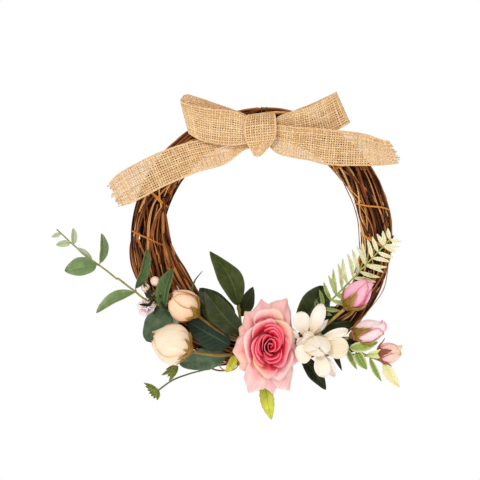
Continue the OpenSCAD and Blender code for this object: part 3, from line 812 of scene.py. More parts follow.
def reflexed_petal(sheets, direction, reach, width, foot, seed, cream=0.0, dark=0.0):
    """An outer petal: it spreads from under the cup and its edges roll back to a point."""

    def shape(t, s):
        half = width / 2 * math.sin(math.pi * (0.12 + 0.42 * t)) ** 0.8 * (1 - 0.22 * max(0.0, t - 0.6) / 0.4)
        point = math.exp(-(s / 0.26) ** 2)
        inside = 7 * mm
        out = inside + (reach * (0.93 - 0.13 * abs(s) ** 1.4 + 0.07 * point) - inside) * t
        roll = max(0.0, t - 0.62) / 0.38
        side_roll = max(0.0, abs(s) - 0.55) / 0.45
        height = foot + 10.5 * mm * math.sin(math.pi * 0.60 * t) - 5.2 * mm * roll ** 2
        height -= 2.4 * mm * side_roll ** 2 * t
        height += (0.9 * math.sin(6 * s + seed) + 0.35 * math.sin(13 * s + 2 * seed)) * mm * t ** 2
        turn = math.atan2(s * half * (1 - 0.12 * side_roll * t), out + 3 * mm)
        edge = max(max(0.0, t - 0.93) / 0.07, max(0.0, abs(s) - 0.9) / 0.1)
        # The dark value darkens the petal towards its foot as painted shade; a value below zero paints it
        # lighter there instead.
        return rose_point(out / max(0.75, math.cos(turn)), direction + turn, height), (
            0.50 + 0.38 * t ** 0.7 - dark * (1 - t) - 0.1 * point * t + 0.16 * edge,
            cream * t * (0.6 + 0.4 * s), 0.5)

    sheets.form(17, 17, shape, 0.5 * mm)


# Each outer petal: its direction, its reach as a share of the rose's, its width, how high its foot is,
# its cream, and how much painted shade darkens it towards its foot (below zero it is painted lighter there)
outer_cloth = Sheets()
tall = (rose_high.z - rose_low.z) / 2
for i, (degrees, reach, width, foot, cream, dark) in enumerate([
        (80, 1.02, 40, 0.5, 0.05, 0.08), (155, 0.96, 38, 0.5, 0.35, 0.26), (212, 1.00, 38, 0.5, 0.45, 0.0),
        (262, 1.03, 38, 0.5, 0.05, -0.2), (322, 1.02, 38, 0.5, 0.05, -0.05), (41, 0.98, 40, 0.5, 0.3, 0.05),
        (132, 1.05, 32, 2.0, 0.35, 0.26), (61, 1.24, 36, 2.5, 0.15, 0.12), (187, 1.08, 36, 2.0, 0.45, 0.30),
        (279, 1.13, 32, 2.0, 0.0, -0.2), (342, 1.07, 34, 2.5, 0.0, 0.12), (19, 0.96, 34, 3.0, 0.6, 0.0),
        (101, 1.09, 34, 4.5, 0.08, 0.0), (242, 1.23, 36, 4.0, 0.12, -0.16),
        (303, 1.24, 34, 4.0, 0.15, -0.16)]):
    reflexed_petal(outer_cloth, math.radians(degrees), tall * reach, width * mm, foot * mm, i, cream, dark)
outer_cloth.piece("rose_outer_petal_cloth", rose_cloth, "rose_pink", "rose_outer_petals")


# ---------- Rose cup and plastic stems ----------
# Moulded plastic: the green cup under the rose, and the thin wired stems of the flowers. Each stem
# has a wire core under a soft green to golden skin, and is pushed between the twigs and glued.

def moulded_plastic(name, stops, roughness=0.45):
    """Coloured plastic with cloudy tints and fine pores."""
    finish = Finish(name, roughness)
    finish.paint(finish.colours(finish.total(finish.noise((220, 700, 700), 3.0), finish.marks[0], -0.5),
                                stops))
    finish.bump(finish.noise((900, 1500, 1500), 2.0), 0.35, 0.4 * mm)
    return finish.material


green_stem_skin = moulded_plastic("green_stem_skin", [(0.0, (74, 84, 30)), (0.35, (112, 116, 42)),
                                                      (0.65, (150, 146, 58)), (1.0, (190, 170, 92))])
golden_stem_skin = moulded_plastic("golden_stem_skin", [(0.0, (98, 74, 22)), (0.35, (138, 106, 34)),
                                                        (0.65, (176, 140, 52)), (1.0, (208, 172, 92))])

cup = Rods()
cup_line = smooth_through([rose_foot + rose_face * out * mm for out in (-3.4, -1, 2.4)], 0.7 * mm)
cup_radii = np.interp(np.linspace(0, 3, len(cup_line)), range(4), (3.6, 5.2, 6.6, 8.0)) * mm
cup.add(cup_line, cup_radii, 0.4, 20)
cup.piece("rose_cup_moulding", green_stem_skin, "calyx", "rose_calyx")


def stem_piece(node, name, skin, r, tint, tip=1.0, steps=14):
    """A stem along each solid of its CAD node, thicker at its joints. tip is its last radius as a share
    of r."""
    rods = Rods()
    for solid in islands(node):
        line = smooth_through(route(solid, steps), 1.6 * mm)
        place = np.linspace(0, 1, len(line))
        rods.add(line, r * (1.05 + 0.10 * np.sin(place * 37) ** 6) * (1 - place * (1 - tip)), tint, 10)
    rods.piece(name, skin, "stem", node)


for node, name, skin, r, tint in [
        ("rose_stem", "rose_wired_stem", green_stem_skin, 1.3, 0.45),
        ("blossom_stems", "blossom_wired_stems", green_stem_skin, 1.0, 0.45),
        ("pink_bud_1_stem", "upper_bud_stem", golden_stem_skin, 1.3, 0.75),
        ("pink_bud_2_stem", "middle_bud_stem", green_stem_skin, 1.3, 0.6),
        ("pink_bud_3_stem", "lower_bud_stem", golden_stem_skin, 1.0, 0.3),
        ("peach_bud_1_stem", "small_peach_bud_stem", golden_stem_skin, 1.3, 0.18),
        ("peach_bud_2_stem", "large_peach_bud_stem", golden_stem_skin, 1.3, 0.3),
        ("rose_leaf_stem", "rose_leaf_wired_stem", green_stem_skin, 1.2, 0.5)]:
    stem_piece(node, name, skin, r * mm, tint)
stem_piece("thorn_twig", "thorn_sprig", green_stem_skin, 1.5 * mm, 0.15, 0.15, 6)


# ---------- White blossoms ----------
# Two five-petalled blossoms of pressed ivory cloth, overlapping beside the rose. Their petals have
# raised edges and creases, and a small cupped tuft closes each one's middle.

ivory_cloth = petal_cloth("ivory_cloth", [(0.0, (186, 146, 96)), (0.22, (222, 198, 156)),
                                          (0.5, (242, 224, 198)), (0.8, (252, 238, 222)),
                                          (1.0, (255, 245, 234))], (228, 216, 176), 0.7)


def blossom_petal(sheets, centre, degrees, length, width, lift, fold, seed, point=0.0, painted_shade_and_tone=0.0):
    """A rounded petal that springs from the blossom's middle. Directions are in the crown's face plane."""
    a = math.radians(degrees)
    way = Vector((math.cos(a), 0, math.sin(a)))
    side = Vector((-math.sin(a), 0, math.cos(a)))
    out = Vector((0, -1, 0))

    def shape(t, s):
        round_end = math.sqrt(max(0.0, 1 - max(0.0, (t - 0.62) / 0.385) ** 2))
        sharp_end = 1 - max(0.0, (t - 0.5) / 0.51) ** 1.3
        half = width / 2 * (0.16 + 0.84 * math.sin(math.pi / 2 * min(1, t / 0.62)) ** 1.2)
        half = max(half * (round_end * (1 - point) + sharp_end * point), 0.25 * mm)
        rise = lift * math.sin(math.pi * 0.62 * t) + 0.10 * length * math.sin(seed) * t * s
        rise += abs(s) ** 2 * half * fold + 0.35 * mm * math.sin(9 * s + seed) * t
        rise += 0.5 * mm * max(0.0, abs(s) - 0.7) / 0.3
        rise -= 1.8 * mm * max(0.0, t - 0.7) ** 2 / 0.09 * (0.6 + 0.4 * math.sin(seed * 2))
        place = centre + way * (2 * mm + length * t) + side * half * s * (1 - 0.12 * fold) + out * rise
        # The dye is painted lighter at the raised edges, a painted highlight, and darker in a thin line along
        # the middle crease, painted shade.
        dye = 0.30 + 0.62 * min(1.0, t * 1.7) + 0.10 * abs(s) ** 3 - 0.07 * math.exp(-(s / 0.1) ** 2)
        # The last argument darkens the petal's middle and tints it with the warm colour as painted shade;
        # below zero it only gives the petal a paler tone.
        return place, (dye - painted_shade_and_tone * (1 - abs(s) ** 4), 1.6 * painted_shade_and_tone, 0.5)

    sheets.form(15, 13, shape, 0.45 * mm)


cups = sorted(islands("blossom_cups"), key=lambda cup: -cup[:, 2].mean())
back_foot, front_foot = [Vector(((c[:, 0].min() + c[:, 0].max()) / 2, c[:, 1].max() - 3 * mm,
                                 (c[:, 2].min() + c[:, 2].max()) / 2)) for c in cups]
front_blossom, back_blossom = Sheets(), Sheets()
# Each petal: how far its foot lies from the middle, its direction, length, width, lift, fold and sharpness
for i, (dx, dz, degrees, length, width, lift, fold, point) in enumerate([
        (-1, 6, 18, 27, 10, 4, 0.5, 0.15), (0, 0, 357, 25, 20, 4.5, 0.12, 0),
        (0, -2, 283, 23.5, 15, 3, 0.3, 0.05), (2, -4, 300, 24, 10, 1, 0.2, 0.3),
        (-2, -2, 200, 17, 17.5, 4, 0.2, 0), (-1, 2, 160, 12, 13, 3, 0.3, 0)]):
    # The second petal is painted much darker than the others: painted shade.
    blossom_petal(front_blossom, front_foot + Vector((dx, 1.5 * (i % 2), dz)) * mm, degrees, length * mm,
                  width * mm, lift * mm, fold, i + 1, point, 0.28 if i == 1 else 0.08)
for i, (dx, dz, degrees, length, width, lift, fold, point) in enumerate([
        (1, -1, 70, 29.5, 13.5, 5, 0.6, 0.12), (-3, -2, 103, 22, 15.5, 4, 0.2, 0),
        (2, 0, 44, 19, 7, 3, 0.5, 0.85), (-7, -5, 129, 11, 5.5, 2, 0.3, 0.4),
        (0, 0, 225, 12, 11, 2, 0.2, 0.2)]):
    blossom_petal(back_blossom, back_foot + Vector((dx, 1.2 * (i % 2), dz)) * mm, degrees, length * mm,
                  width * mm, lift * mm, fold, i + 11, point)
front_blossom.piece("front_blossom_petals", ivory_cloth, "ivory_petal", "blossom_front_petals")
back_blossom.piece("back_blossom_petals", ivory_cloth, "ivory_petal", "blossom_back_petals")


def tuft_petal(sheets, foot, size, i, sweep):
    """One of the small petals that close over a blossom's middle. The last goes all the way round inside
    them."""
    inner = sweep == 180
    share = 0.82 if inner else 1.0

    def shape(t, s):
        if not inner:
            t *= 1 - 0.16 * abs(s) ** 2.5
        around = math.radians(97 * i + 30 + sweep * s)
        out = share * (0.3 + 10.0 * math.sin(math.pi * 0.99 * t ** 0.8)
                       + (0.9 * s - 0.3 * i) * (1 - t) * share)
        ruffle = 0.0 if inner else 0.5 * i + 0.5 * math.sin(5 * s + i)
        place = Vector((1.15 * out * math.cos(around) + 2.5 * t - 1.5, -1.0 - 10.0 * t * share + ruffle,
                        0.86 * out * math.sin(around) - 2.5 * t + 1.5))
        return foot + place * mm * size, (0.30 + 0.5 * t ** 1.5 + 0.25 * abs(s) ** 5, 0.25 * (1 - t), 0.5)

    sheets.form(15, 25, shape, 0.5 * mm)


tufts = Sheets()
for foot, size in ((front_foot, 1.0), (back_foot, 0.42)):
    for i, sweep in enumerate((80, 84, 78, 88, 180)):
        tuft_petal(tufts, foot, size, i, sweep)
tufts.piece("blossom_tufts", ivory_cloth, "blossom_centre", "blossom_cups")


# ---------- Buds ----------
# Five closed buds: three pink on the right and two peach on the left. Each is a wrap of pressed
# cloth petals round a foam core, held in a moulded calyx whose golden sepals point up its sides.

class Bud:
    """Where a bud stands, from its CAD solid and its calyx: its foot, its axis, its length and its radius."""

    def __init__(self, node):
        self.node = node
        body = np.array([v.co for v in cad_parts[node].data.vertices])
        calyx = np.array([v.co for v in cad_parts[node + "_calyx"].data.vertices])
        middle = body.mean(0)
        axis = middle - calyx.mean(0)
        for _ in range(3):
            along = (body - middle) @ (axis / np.linalg.norm(axis))
            tip, base = body[along.argmax()], body[along.argmin()]
            axis = tip - base
        self.radius = np.linalg.norm(np.cross(body - base, axis / np.linalg.norm(axis)), axis=1).max()
        self.base = Vector(base)
        self.long = (Vector(tip) - self.base).length
        self.axis = (Vector(tip) - self.base).normalized()
        self.side = self.axis.cross(Vector((0, -1, 0))).normalized()
        self.front = self.side.cross(self.axis)

    def point(self, t, turn, out):
        """The point at a share t of the bud's length, and that far out from its axis."""
        return (self.base + self.axis * self.long * t
                + (self.side * math.cos(turn) + self.front * math.sin(turn)) * out)


def bud_girth(t):
    return max(0.0, math.sin(math.pi * min(1.0, t) ** 0.82)) ** 0.75


def wrapped_bud(bud, name, cloth, slot, wraps, open_tip, seed, dye, cream):
    """Petals wrapped round a closed core. dye is its place in the middle, at the rims and how much darker the
    foot is, and open_tip says how wide the petals stand at the tip."""
    sheets = Sheets()

    def core(k, s):
        t = math.sin(math.pi / 2 * k)
        girth = max(0.86 * bud_girth(t), 0.9 * open_tip * math.cos(math.pi / 2 * k) ** 0.5, 0.004)
        out = bud.radius * min(girth, 0.86 * bud_girth(0.5))
        return bud.point(0.02 + 0.86 * t, math.pi * (s + 1), out), (dye[1] - 0.1, cream, 0.5)

    sheets.form(12, 17, core, 0.4 * mm)
    for w in range(wraps):
        def wrap(k, s):
            reach = 1.02 - 0.05 * (w % 3) - 0.02 * w
            ragged = 0.012 * math.sin(11 * s + 2 * w + seed) + 0.009 * math.sin(23 * s + w)
            t = (0.02 + (reach - 0.02) * k) * (1 - 0.13 * abs(s) ** 2.6 + ragged)
            turn = seed + 2 * math.pi * w * 0.41 + 1.25 * s * (0.75 + 0.25 * math.sin(math.pi * t)) + 0.5 * t
            grow = 0.88 + 0.028 * w + 0.030 * s + 0.045 * max(0.0, s - 0.72) / 0.28
            girth = bud_girth(t * 0.97)
            if t > 0.5:
                girth = max(open_tip, girth) + 0.35 * open_tip * max(0.0, t - 0.82) / 0.2
            out = bud.radius * grow * max(0.06, girth) + 0.25 * mm * math.sin(4 * turn + w)
            rim = max(max(0.0, abs(s) - 0.78) / 0.22, max(0.0, k - 0.86) / 0.14)
            return bud.point(t, turn, out), (dye[0] + (dye[1] - dye[0]) * rim ** 2 - dye[2] * (1 - t) ** 2,
                                             cream * t, 0.5)

        sheets.form(18, 19, wrap, 0.5 * mm)
    sheets.piece(name, cloth, slot, bud.node)


blush_cloth = petal_cloth("blush_bud_cloth", [(0.0, (204, 76, 84)), (0.2, (232, 108, 142)),
                                              (0.4, (246, 144, 180)), (0.6, (253, 184, 204)),
                                              (0.8, (255, 216, 222)), (1.0, (255, 240, 238))],
                          (255, 226, 182))
peach_cloth = petal_cloth("peach_bud_cloth", [(0.0, (138, 70, 32)), (0.25, (206, 126, 78)),
                                              (0.5, (246, 188, 142)), (0.75, (255, 214, 176)),
                                              (1.0, (255, 236, 212))], (255, 232, 200))
calyx_plastic = moulded_plastic("calyx_plastic", [(0.0, (70, 48, 8)), (0.35, (124, 88, 16)),
                                                  (0.65, (168, 128, 32)), (1.0, (206, 172, 70))], 0.5)
brown_calyx_plastic = moulded_plastic("brown_calyx_plastic", [(0.0, (80, 34, 14)), (0.4, (140, 74, 32)),
                                                              (0.7, (186, 118, 60)), (1.0, (222, 178, 116))],
                                      0.5)


def sepals(bud, name, plastic, share, count, flick, tint):
    """The calyx: a knob under the bud, and pointed sepals pressed against the bud or flicked out at
    their tips."""
    sheets = Sheets()
    for w in range(count):
        def sepal(k, s):
            t = 0.015 + share * (1 + 0.22 * math.sin(w * 2.3)) * k
            narrow = (0.40 + 0.72 * max(0.0, 0.45 - k) / 0.25) * min(1.0, (1.02 - k) / 0.45)
            half = math.pi / count * (1.12 if k < 0.2 else narrow)
            out = bud.radius * 1.045 * max(0.17, bud_girth(t)) + 0.8 * mm
            out += flick * bud.radius * max(0.0, k - 0.6) ** 2 + 0.25 * mm * (1 - s * s) + 0.2 * mm * (w % 2)
            return bud.point(t, 2 * math.pi * w / count + 0.5 + half * s, out), (
                tint + 0.25 * k - 0.15 * math.exp(-(s / 0.25) ** 2), k, 0.5)

        sheets.form(14, 9, sepal, 0.7 * mm)

    def knob(k, s):
        out = 1.2 * mm + (bud.radius * 0.42 - 1.2 * mm) * math.sin(math.pi / 2 * k)
        return bud.point((1.2 * k - 2.4) * mm / bud.long + 0.12 * k, math.pi * (s + 1), out), (tint, 0.0, 0.5)

    sheets.form(8, 17, knob, 0.8 * mm)
    sheets.piece(name, plastic, "calyx", bud.node + "_calyx")


for node, name, cloth, slot, wraps, open_tip, seed, dye, cream, plastic, share, count, flick, tint in [
        ("pink_bud_1", "upper_pink_bud", blush_cloth, "pink_bud", 4, 0.36, 0.4, (0.66, 0.20, 0.30), 0.1,
         calyx_plastic, 0.46, 5, 0.0, 0.45),
        ("pink_bud_2", "middle_pink_bud", blush_cloth, "pink_bud", 5, 0.50, 1.3, (0.95, 0.30, 0.30), 0.1,
         calyx_plastic, 0.48, 5, 0.1, 0.4),
        ("pink_bud_3", "lower_pink_bud", blush_cloth, "pink_bud", 5, 0.45, 2.2, (0.66, 0.50, 0.15), 0.95,
         brown_calyx_plastic, 0.50, 5, 1.8, 0.3),
        ("peach_bud_1", "small_peach_bud", peach_cloth, "peach_bud", 6, 0.30, 3.9, (0.84, 0.28, 0.25), 0.1,
         calyx_plastic, 0.27, 7, 0.0, 0.45),
        ("peach_bud_2", "large_peach_bud", peach_cloth, "peach_bud", 4, 0.16, 5.6, (0.95, 0.55, 0.08), 0.2,
         calyx_plastic, 0.18, 11, 0.0, 0.5)]:
    bud = Bud(node)
    wrapped_bud(bud, name + "_wrap", cloth, slot, wraps, open_tip, seed, dye, cream)
    sepals(bud, name + "_calyx_cup", plastic, share, count, flick, tint)


# ---------- Rose leaves and dark leaves ----------
# Large leaves pressed from green cloth, with a waxy face, a raised middle rib and side veins.
# Each is folded along its rib, arched, and held by a thin wired stalk.

def leaf_places(node, stem_node=None):
    """Base, tip, width and facing of each CAD leaf. Its base is the end that is nearer the stem."""
    near = np.array([[0, 0, -0.095]])
    if stem_node:
        near = np.array([v.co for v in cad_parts[stem_node].data.vertices])
    places = []
    for solid in islands(node):
        middle = solid.mean(0)
        axes = np.linalg.svd(solid - middle, full_matrices=False)[2]
        along = (solid - middle) @ axes[0]
        ends = [solid[along.argmin()], solid[along.argmax()]]
        ends.sort(key=lambda e: np.linalg.norm(near - e, axis=1).min())
        across = (solid - middle) @ axes[1]
        facing = Vector(axes[2])
        if facing.y > 0:
            facing = -facing
        places.append((Vector(ends[0]), Vector(ends[1]), across.max() - across.min(), facing))
    return places


def leaf_blade(sheets, place, arch=0.05, fold=0.25, sway=0.0, blunt=0.15, teeth=0, tint=0.5, seed=0,
               thick=0.45, widen=1.0, curl=0.0, twist=0.0):
    """A leaf from its base to its tip. arch lifts its middle, fold closes it along its rib, sway bends it
    sideways, curl drops its tip and twist turns it."""
    base, tip, width, facing = place
    axis = (tip - base).normalized()
    long = (tip - base).length
    side = axis.cross(facing).normalized()

    def shape(t, s):
        pointed = math.sin(math.pi * t ** 0.8) ** 0.85 if 0 < t < 1 else 0.0
        rounded = math.sqrt(max(0.0, 1 - (2 * t - 1) ** 2))
        half = width * widen / 2 * (pointed * (1 - blunt) + rounded * blunt)
        half = max(half * (1 + 0.04 * math.sin(11 * t + seed)), 0.35 * mm)
        tooth = 0.16 * (1.0 - (t * teeth) % 1.0) if teeth and half > 0.4 * mm else 0.0
        turn = twist * (t - 0.2)
        across = side * math.cos(turn) + facing * math.sin(turn)
        raised = facing * math.cos(turn) - side * math.sin(turn)
        centre = (base + axis * long * t + side * sway * long * math.sin(math.pi * t)
                  + facing * (arch * math.sin(math.pi * t) - curl * t ** 3) * long)
        reach = half * s * (1 - tooth * abs(s) ** 4)
        rise = fold * abs(reach)
        rise += 0.045 * half * math.sin(13 * t * (1 + 0.2 * math.sin(seed)) + 2 * s + seed) * abs(s)
        rise -= 0.35 * mm * math.exp(-(s / 0.09) ** 2)
        rise += 0.12 * half * math.sin(math.pi * 2 * 7 * (t - 0.22 * abs(s))) * abs(s) * (1 - abs(s))
        return centre + across * reach + raised * rise, (tint, t, (s + 1) / 2)

    sheets.form(4 * teeth + 1 if teeth else 27, 13, shape, thick * mm)


def leaf_cloth(name, stops, vein, edge, roughness=0.42, veins=7, vein_strength=0.5, edge_strength=0.3,
               edge_fall=9.0):
    """Waxed leaf cloth with a rib, side veins and a tinted edge. marks hold a tint, the share of the leaf's
    length, and the place across it."""
    finish = Finish(name, roughness)
    maths = finish.maths
    tint, along, across = finish.marks
    off_middle = maths("ABSOLUTE", maths("SUBTRACT", across, 0.5))
    slanted = maths("SUBTRACT", along, maths("MULTIPLY", off_middle, 0.44))
    wave = maths("SINE", maths("MULTIPLY", slanted, veins * 2 * math.pi))
    side_veins = maths("POWER", maths("MAXIMUM", wave, 0.0), 24.0)
    rib = maths("GREATER_THAN", 0.028, off_middle)
    lines = maths("MAXIMUM", maths("MULTIPLY", side_veins, 0.75), rib)
    ground = finish.colours(finish.total(tint, (finish.noise((130, 130, 60), 3.0), 0.55), -0.275), stops)
    veined = finish.blend(maths("MULTIPLY", lines, vein_strength), ground, vein)
    rim = maths("MULTIPLY", maths("POWER", maths("MULTIPLY", off_middle, 2.0), edge_fall), edge_strength)
    finish.paint(finish.blend(rim, veined, edge))
    cells = finish.noise((900, 900, 300), 2.0)
    finish.bump(maths("SUBTRACT", maths("MULTIPLY", cells, 0.5), lines), 0.5, 0.5 * mm)
    finish.set(Specular_IOR_Level=0.22)
    return finish.material


dark_leaf_cloth = leaf_cloth("dark_leaf_cloth", [(0.0, (14, 18, 5)), (0.3, (34, 42, 13)), (0.6, (62, 72, 26)),
                                                 (1.0, (112, 120, 66))], (104, 114, 58), (92, 100, 48),
                             vein_strength=0.3)
blades = Sheets()
for i, (place, style) in enumerate(zip(leaf_places("rose_leaves", "rose_leaf_stem"), [
        dict(arch=0.10, fold=0.18, blunt=0.3, tint=0.34, sway=-0.03),
        dict(arch=0.12, fold=0.32, blunt=0.3, tint=0.40),
        dict(arch=0.12, fold=0.6, blunt=0.12, tint=0.56, sway=0.07, twist=0.7),
        dict(arch=0.05, fold=0.2, blunt=0.2, tint=0.40)])):
    leaf_blade(blades, place, seed=i, curl=0.05, **style)
blades.piece("rose_leaf_blades", dark_leaf_cloth, "dark_leaf", "rose_leaves")

blades = Sheets()
for i, place in enumerate(leaf_places("right_dark_leaves")):
    leaf_blade(blades, place, arch=0.06, fold=0.22, blunt=0.7 if place[2] > 20 * mm else 0.25,
               tint=(0.36, 0.14, 0.16, 0.26, 0.14)[i % 5], seed=i + 7, curl=0.06)
blades.piece("right_leaf_blades", dark_leaf_cloth, "dark_leaf", "right_dark_leaves")


# ---------- Eucalyptus and round leaves ----------
# A wired sprig of eucalyptus on the left: thin blue-green leaves with a pale rib on short stalks,
# smaller and paler towards its tip. Three broad round leaves lie behind the peach buds.

eucalyptus_cloth = leaf_cloth("eucalyptus_cloth", [(0.0, (38, 60, 30)), (0.35, (76, 102, 58)),
                                                   (0.65, (122, 146, 94)), (1.0, (192, 204, 166))],
                              (178, 176, 108), (170, 162, 98), 0.5, 8, 0.35, 0.4)
round_leaf_cloth = leaf_cloth("round_leaf_cloth", [(0.0, (14, 28, 20)), (0.35, (38, 56, 40)),
                                                   (0.65, (84, 106, 78)), (1.0, (146, 160, 128))],
                              (104, 124, 94), (100, 112, 76), 0.45, 9, 0.32, 0.2)


def stalk(rods, place, node, r=0.55):
    """A short stalk from a leaf's base to the nearest point of its sprig."""
    near = np.array([v.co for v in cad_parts[node].data.vertices])
    base, tip = place[0], place[1]
    foot = Vector(near[np.linalg.norm(near - base, axis=1).argmin()])
    if (foot - base).length > 0.3 * mm:
        start = base + (tip - base) * 0.08
        rods.add(smooth_through([start, base, base.lerp(foot, 0.5) + Vector((0, -0.4 * mm, 0)), foot],
                                1.2 * mm), r * mm, 0.55, 8)


blades, stalks = Sheets(), Rods()
for i, place in enumerate(leaf_places("eucalyptus_leaves", "eucalyptus_stem")):
    shaded = place[0].x > -0.118 and place[1].z > place[0].z
    leaf_blade(blades, place, arch=0.09, fold=(0.5, 0.3, 0.75, 0.5, 0.25, 0.6)[i % 6], blunt=0.55, curl=0.04,
               tint=0.22 + 0.04 * (i % 4) if shaded else 0.58 + 0.03 * (i % 3), seed=i + 20, widen=1.0)
    stalk(stalks, place, "eucalyptus_stem")
blades.piece("eucalyptus_leaf_blades", eucalyptus_cloth, "silver_leaf", "eucalyptus_leaves")
blades = Sheets()
for i, place in enumerate(leaf_places("eucalyptus_tip_leaves", "eucalyptus_stem")):
    leaf_blade(blades, place, arch=0.05, fold=0.4, blunt=0.5, tint=0.95, seed=i + 30, thick=0.4)
    stalk(stalks, place, "eucalyptus_stem", 0.4)
blades.piece("eucalyptus_tip_blades", eucalyptus_cloth, "silver_leaf", "eucalyptus_tip_leaves")
solid = islands("eucalyptus_stem")[0]
line = route(solid, 26)
line = smooth_through(line if line[0][0] > line[-1][0] else line[::-1], 1.6 * mm)
stalks.add(line, np.linspace(1.15, 0.6, len(line)) * mm, 0.6, 10)
stalks.piece("eucalyptus_wired_stem", green_stem_skin, "stem", "eucalyptus_stem")

blades = Sheets()
for i, place in enumerate(leaf_places("round_leaves", "rose_stem")):
    leaf_blade(blades, place, arch=(0.07, 0.0, 0.0)[i % 3], fold=0.12, blunt=(0.8, 0.6, 0.5)[i % 3],
               tint=(0.60, 0.66, 0.26)[i % 3], seed=i + 40, curl=0.05)
blades.piece("round_leaf_blades", round_leaf_cloth, "silver_leaf", "round_leaves")


# ---------- Lime leaves ----------
# Two small yellow-green leaves that peep from under the rose. Their edges are tinged with red.

lime_cloth = leaf_cloth("lime_cloth", [(0.0, (128, 150, 34)), (0.4, (182, 192, 58)), (0.7, (221, 219, 87)),
                                       (1.0, (240, 232, 140))], (150, 160, 60), (204, 118, 66), 0.5, 6, 0.6,
                        0.8)
blades = Sheets()
for i, place in enumerate(leaf_places("lime_leaves")):
    leaf_blade(blades, place, arch=0.05, fold=0.3, blunt=0.3, teeth=7, tint=0.55, seed=i + 50, curl=0.05,
               widen=1.1)
blades.piece("lime_leaf_blades", lime_cloth, "lime_leaf", "lime_leaves")


# ---------- Fern ----------
# A moulded fern frond on the right. Its thin rib carries two rows of narrow crinkled leaflets,
# green near the base and bleached to cream towards the tip.

fern_plastic = leaf_cloth("fern_plastic", [(0.0, (50, 66, 16)), (0.25, (100, 122, 46)),
                                           (0.5, (182, 190, 120)), (0.75, (234, 230, 184)),
                                           (1.0, (250, 246, 216))], (128, 144, 62), (226, 222, 176), 0.5, 8,
                          0.35, 0.3)
places = leaf_places("fern_leaflets", "fern_rachis")
fern_low, fern_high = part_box("fern_rachis")
blades = Sheets()
fern_line = route(islands("fern_rachis")[0], 30)
for i, (base, tip, width, facing) in enumerate(places):
    up = (base.x - fern_low.x) / (fern_high.x - fern_low.x)
    rib_point = min((Vector(point) for point in fern_line), key=lambda point: (point - base).length)
    base = rib_point * 0.85 + base * 0.15
    tip = tip + (tip - base).normalized() * (0.4 + 1.8 * up) * mm
    leaf_blade(blades, (base, tip, width, facing), arch=0.08 * (1 if i % 2 else -0.3), fold=0.5, blunt=0.35,
               teeth=6, tint=0.10 + 0.80 * up ** 0.5, seed=i + 60, thick=0.4, sway=0.05 * math.sin(i * 1.7),
               widen=0.86, curl=0.06)
blades.piece("fern_leaflet_blades", fern_plastic, "fern", "fern_leaflets")
backing = Sheets()
fern_foot = Vector((fern_low.x, fern_high.y, fern_low.z))
for dx, dz, reach_x, reach_z, width in ((-3, -8, 24, 17, 15), (4, -10, 26, 5, 11)):
    leaf_blade(backing, (fern_foot + Vector((dx, 3, dz)) * mm,
                         fern_foot + Vector((dx + reach_x, 2, dz + reach_z)) * mm, width * mm,
                         Vector((0.1, -1, 0.1)).normalized()), arch=0.06, fold=0.2, tint=0.3, seed=dx + 9)
backing.piece("fern_backing_leaves", dark_leaf_cloth, "dark_leaf")
fern_rib_skin = moulded_plastic("fern_rib_skin", [(0.0, (110, 132, 40)), (0.5, (158, 172, 70)),
                                                  (1.0, (206, 206, 120))], 0.45)
stem_piece("fern_rachis", "fern_rib", fern_rib_skin, 0.85 * mm, 0.5, 0.6)


# ---------- Variegated sprig ----------
# A short moulded sprig at the lower right. Its small toothed leaves are green with cream edges
# and tips, and it springs from between the buds.

variegated_cloth = leaf_cloth("variegated_cloth", [(0.0, (66, 104, 24)), (0.35, (116, 146, 50)),
                                                   (0.65, (186, 196, 104)), (1.0, (244, 234, 180))],
                              (226, 222, 160), (250, 238, 196), 0.5, 6, 0.6, 0.95, 3.0)
blades, stalks = Sheets(), Rods()
for i, place in enumerate(leaf_places("variegated_leaves", "variegated_stem")):
    leaf_blade(blades, place, arch=0.10, fold=0.45, blunt=0.25, teeth=7,
               tint=(0.30, 0.34, 0.44, 0.34, 0.74, 0.92)[i % 6], seed=i + 80, curl=0.10, widen=1.25)
    stalk(stalks, place, "variegated_stem", 0.45)
blades.piece("variegated_leaf_blades", variegated_cloth, "lime_leaf", "variegated_leaves")
stalks.add(smooth_through(route(islands("variegated_stem")[0], 14), 1.6 * mm), 0.85 * mm, 0.55, 10)
stalks.piece("variegated_wired_stem", fern_rib_skin, "stem", "variegated_stem")


# ---------- Trailing sprig ----------
# A thin dark stem that curls down at the lower left. It ends in a small fringed cup of leaf,
# and a smaller tuft grows halfway along it.

trailing_cloth = leaf_cloth("trailing_cloth", [(0.0, (60, 74, 18)), (0.5, (112, 124, 40)),
                                               (1.0, (182, 186, 110))], (84, 96, 34), (222, 216, 160), 0.5,
                            12, 0.5, 0.6)
sprig = Rods()
line = smooth_through(route(islands("trailing_stem")[0], 14), 1.6 * mm)
sprig.add(line, np.linspace(0.65, 0.8, len(line)) * mm, 0.12, 9)
sprig.piece("trailing_wired_stem", green_stem_skin, "stem", "trailing_stem")
blades = Sheets()
stem_end = Vector(min(route(islands("trailing_stem")[0], 14).tolist(), key=lambda p: p[0]))
for a, (degrees, reach) in enumerate([(152, 14.5), (163, 12), (178, 9.8), (197, 8.8), (218, 8.4), (240, 8.5),
                                      (264, 8.8)]):
    spread = math.radians(degrees)
    way = Vector((math.cos(spread), -0.2 + 0.08 * (a % 3), math.sin(spread)))
    leaf_blade(blades, (stem_end + Vector((0, -0.2 * a * mm, 0)), stem_end + way * reach * mm, 4.6 * mm,
                        Vector((0, -1, 0))), fold=0.3, blunt=0.2, teeth=5, tint=0.42, seed=a + 90, thick=0.4)
tuft = Vector(islands("trailing_leaf")[-1].mean(0)) + Vector((7, 0, 4)) * mm
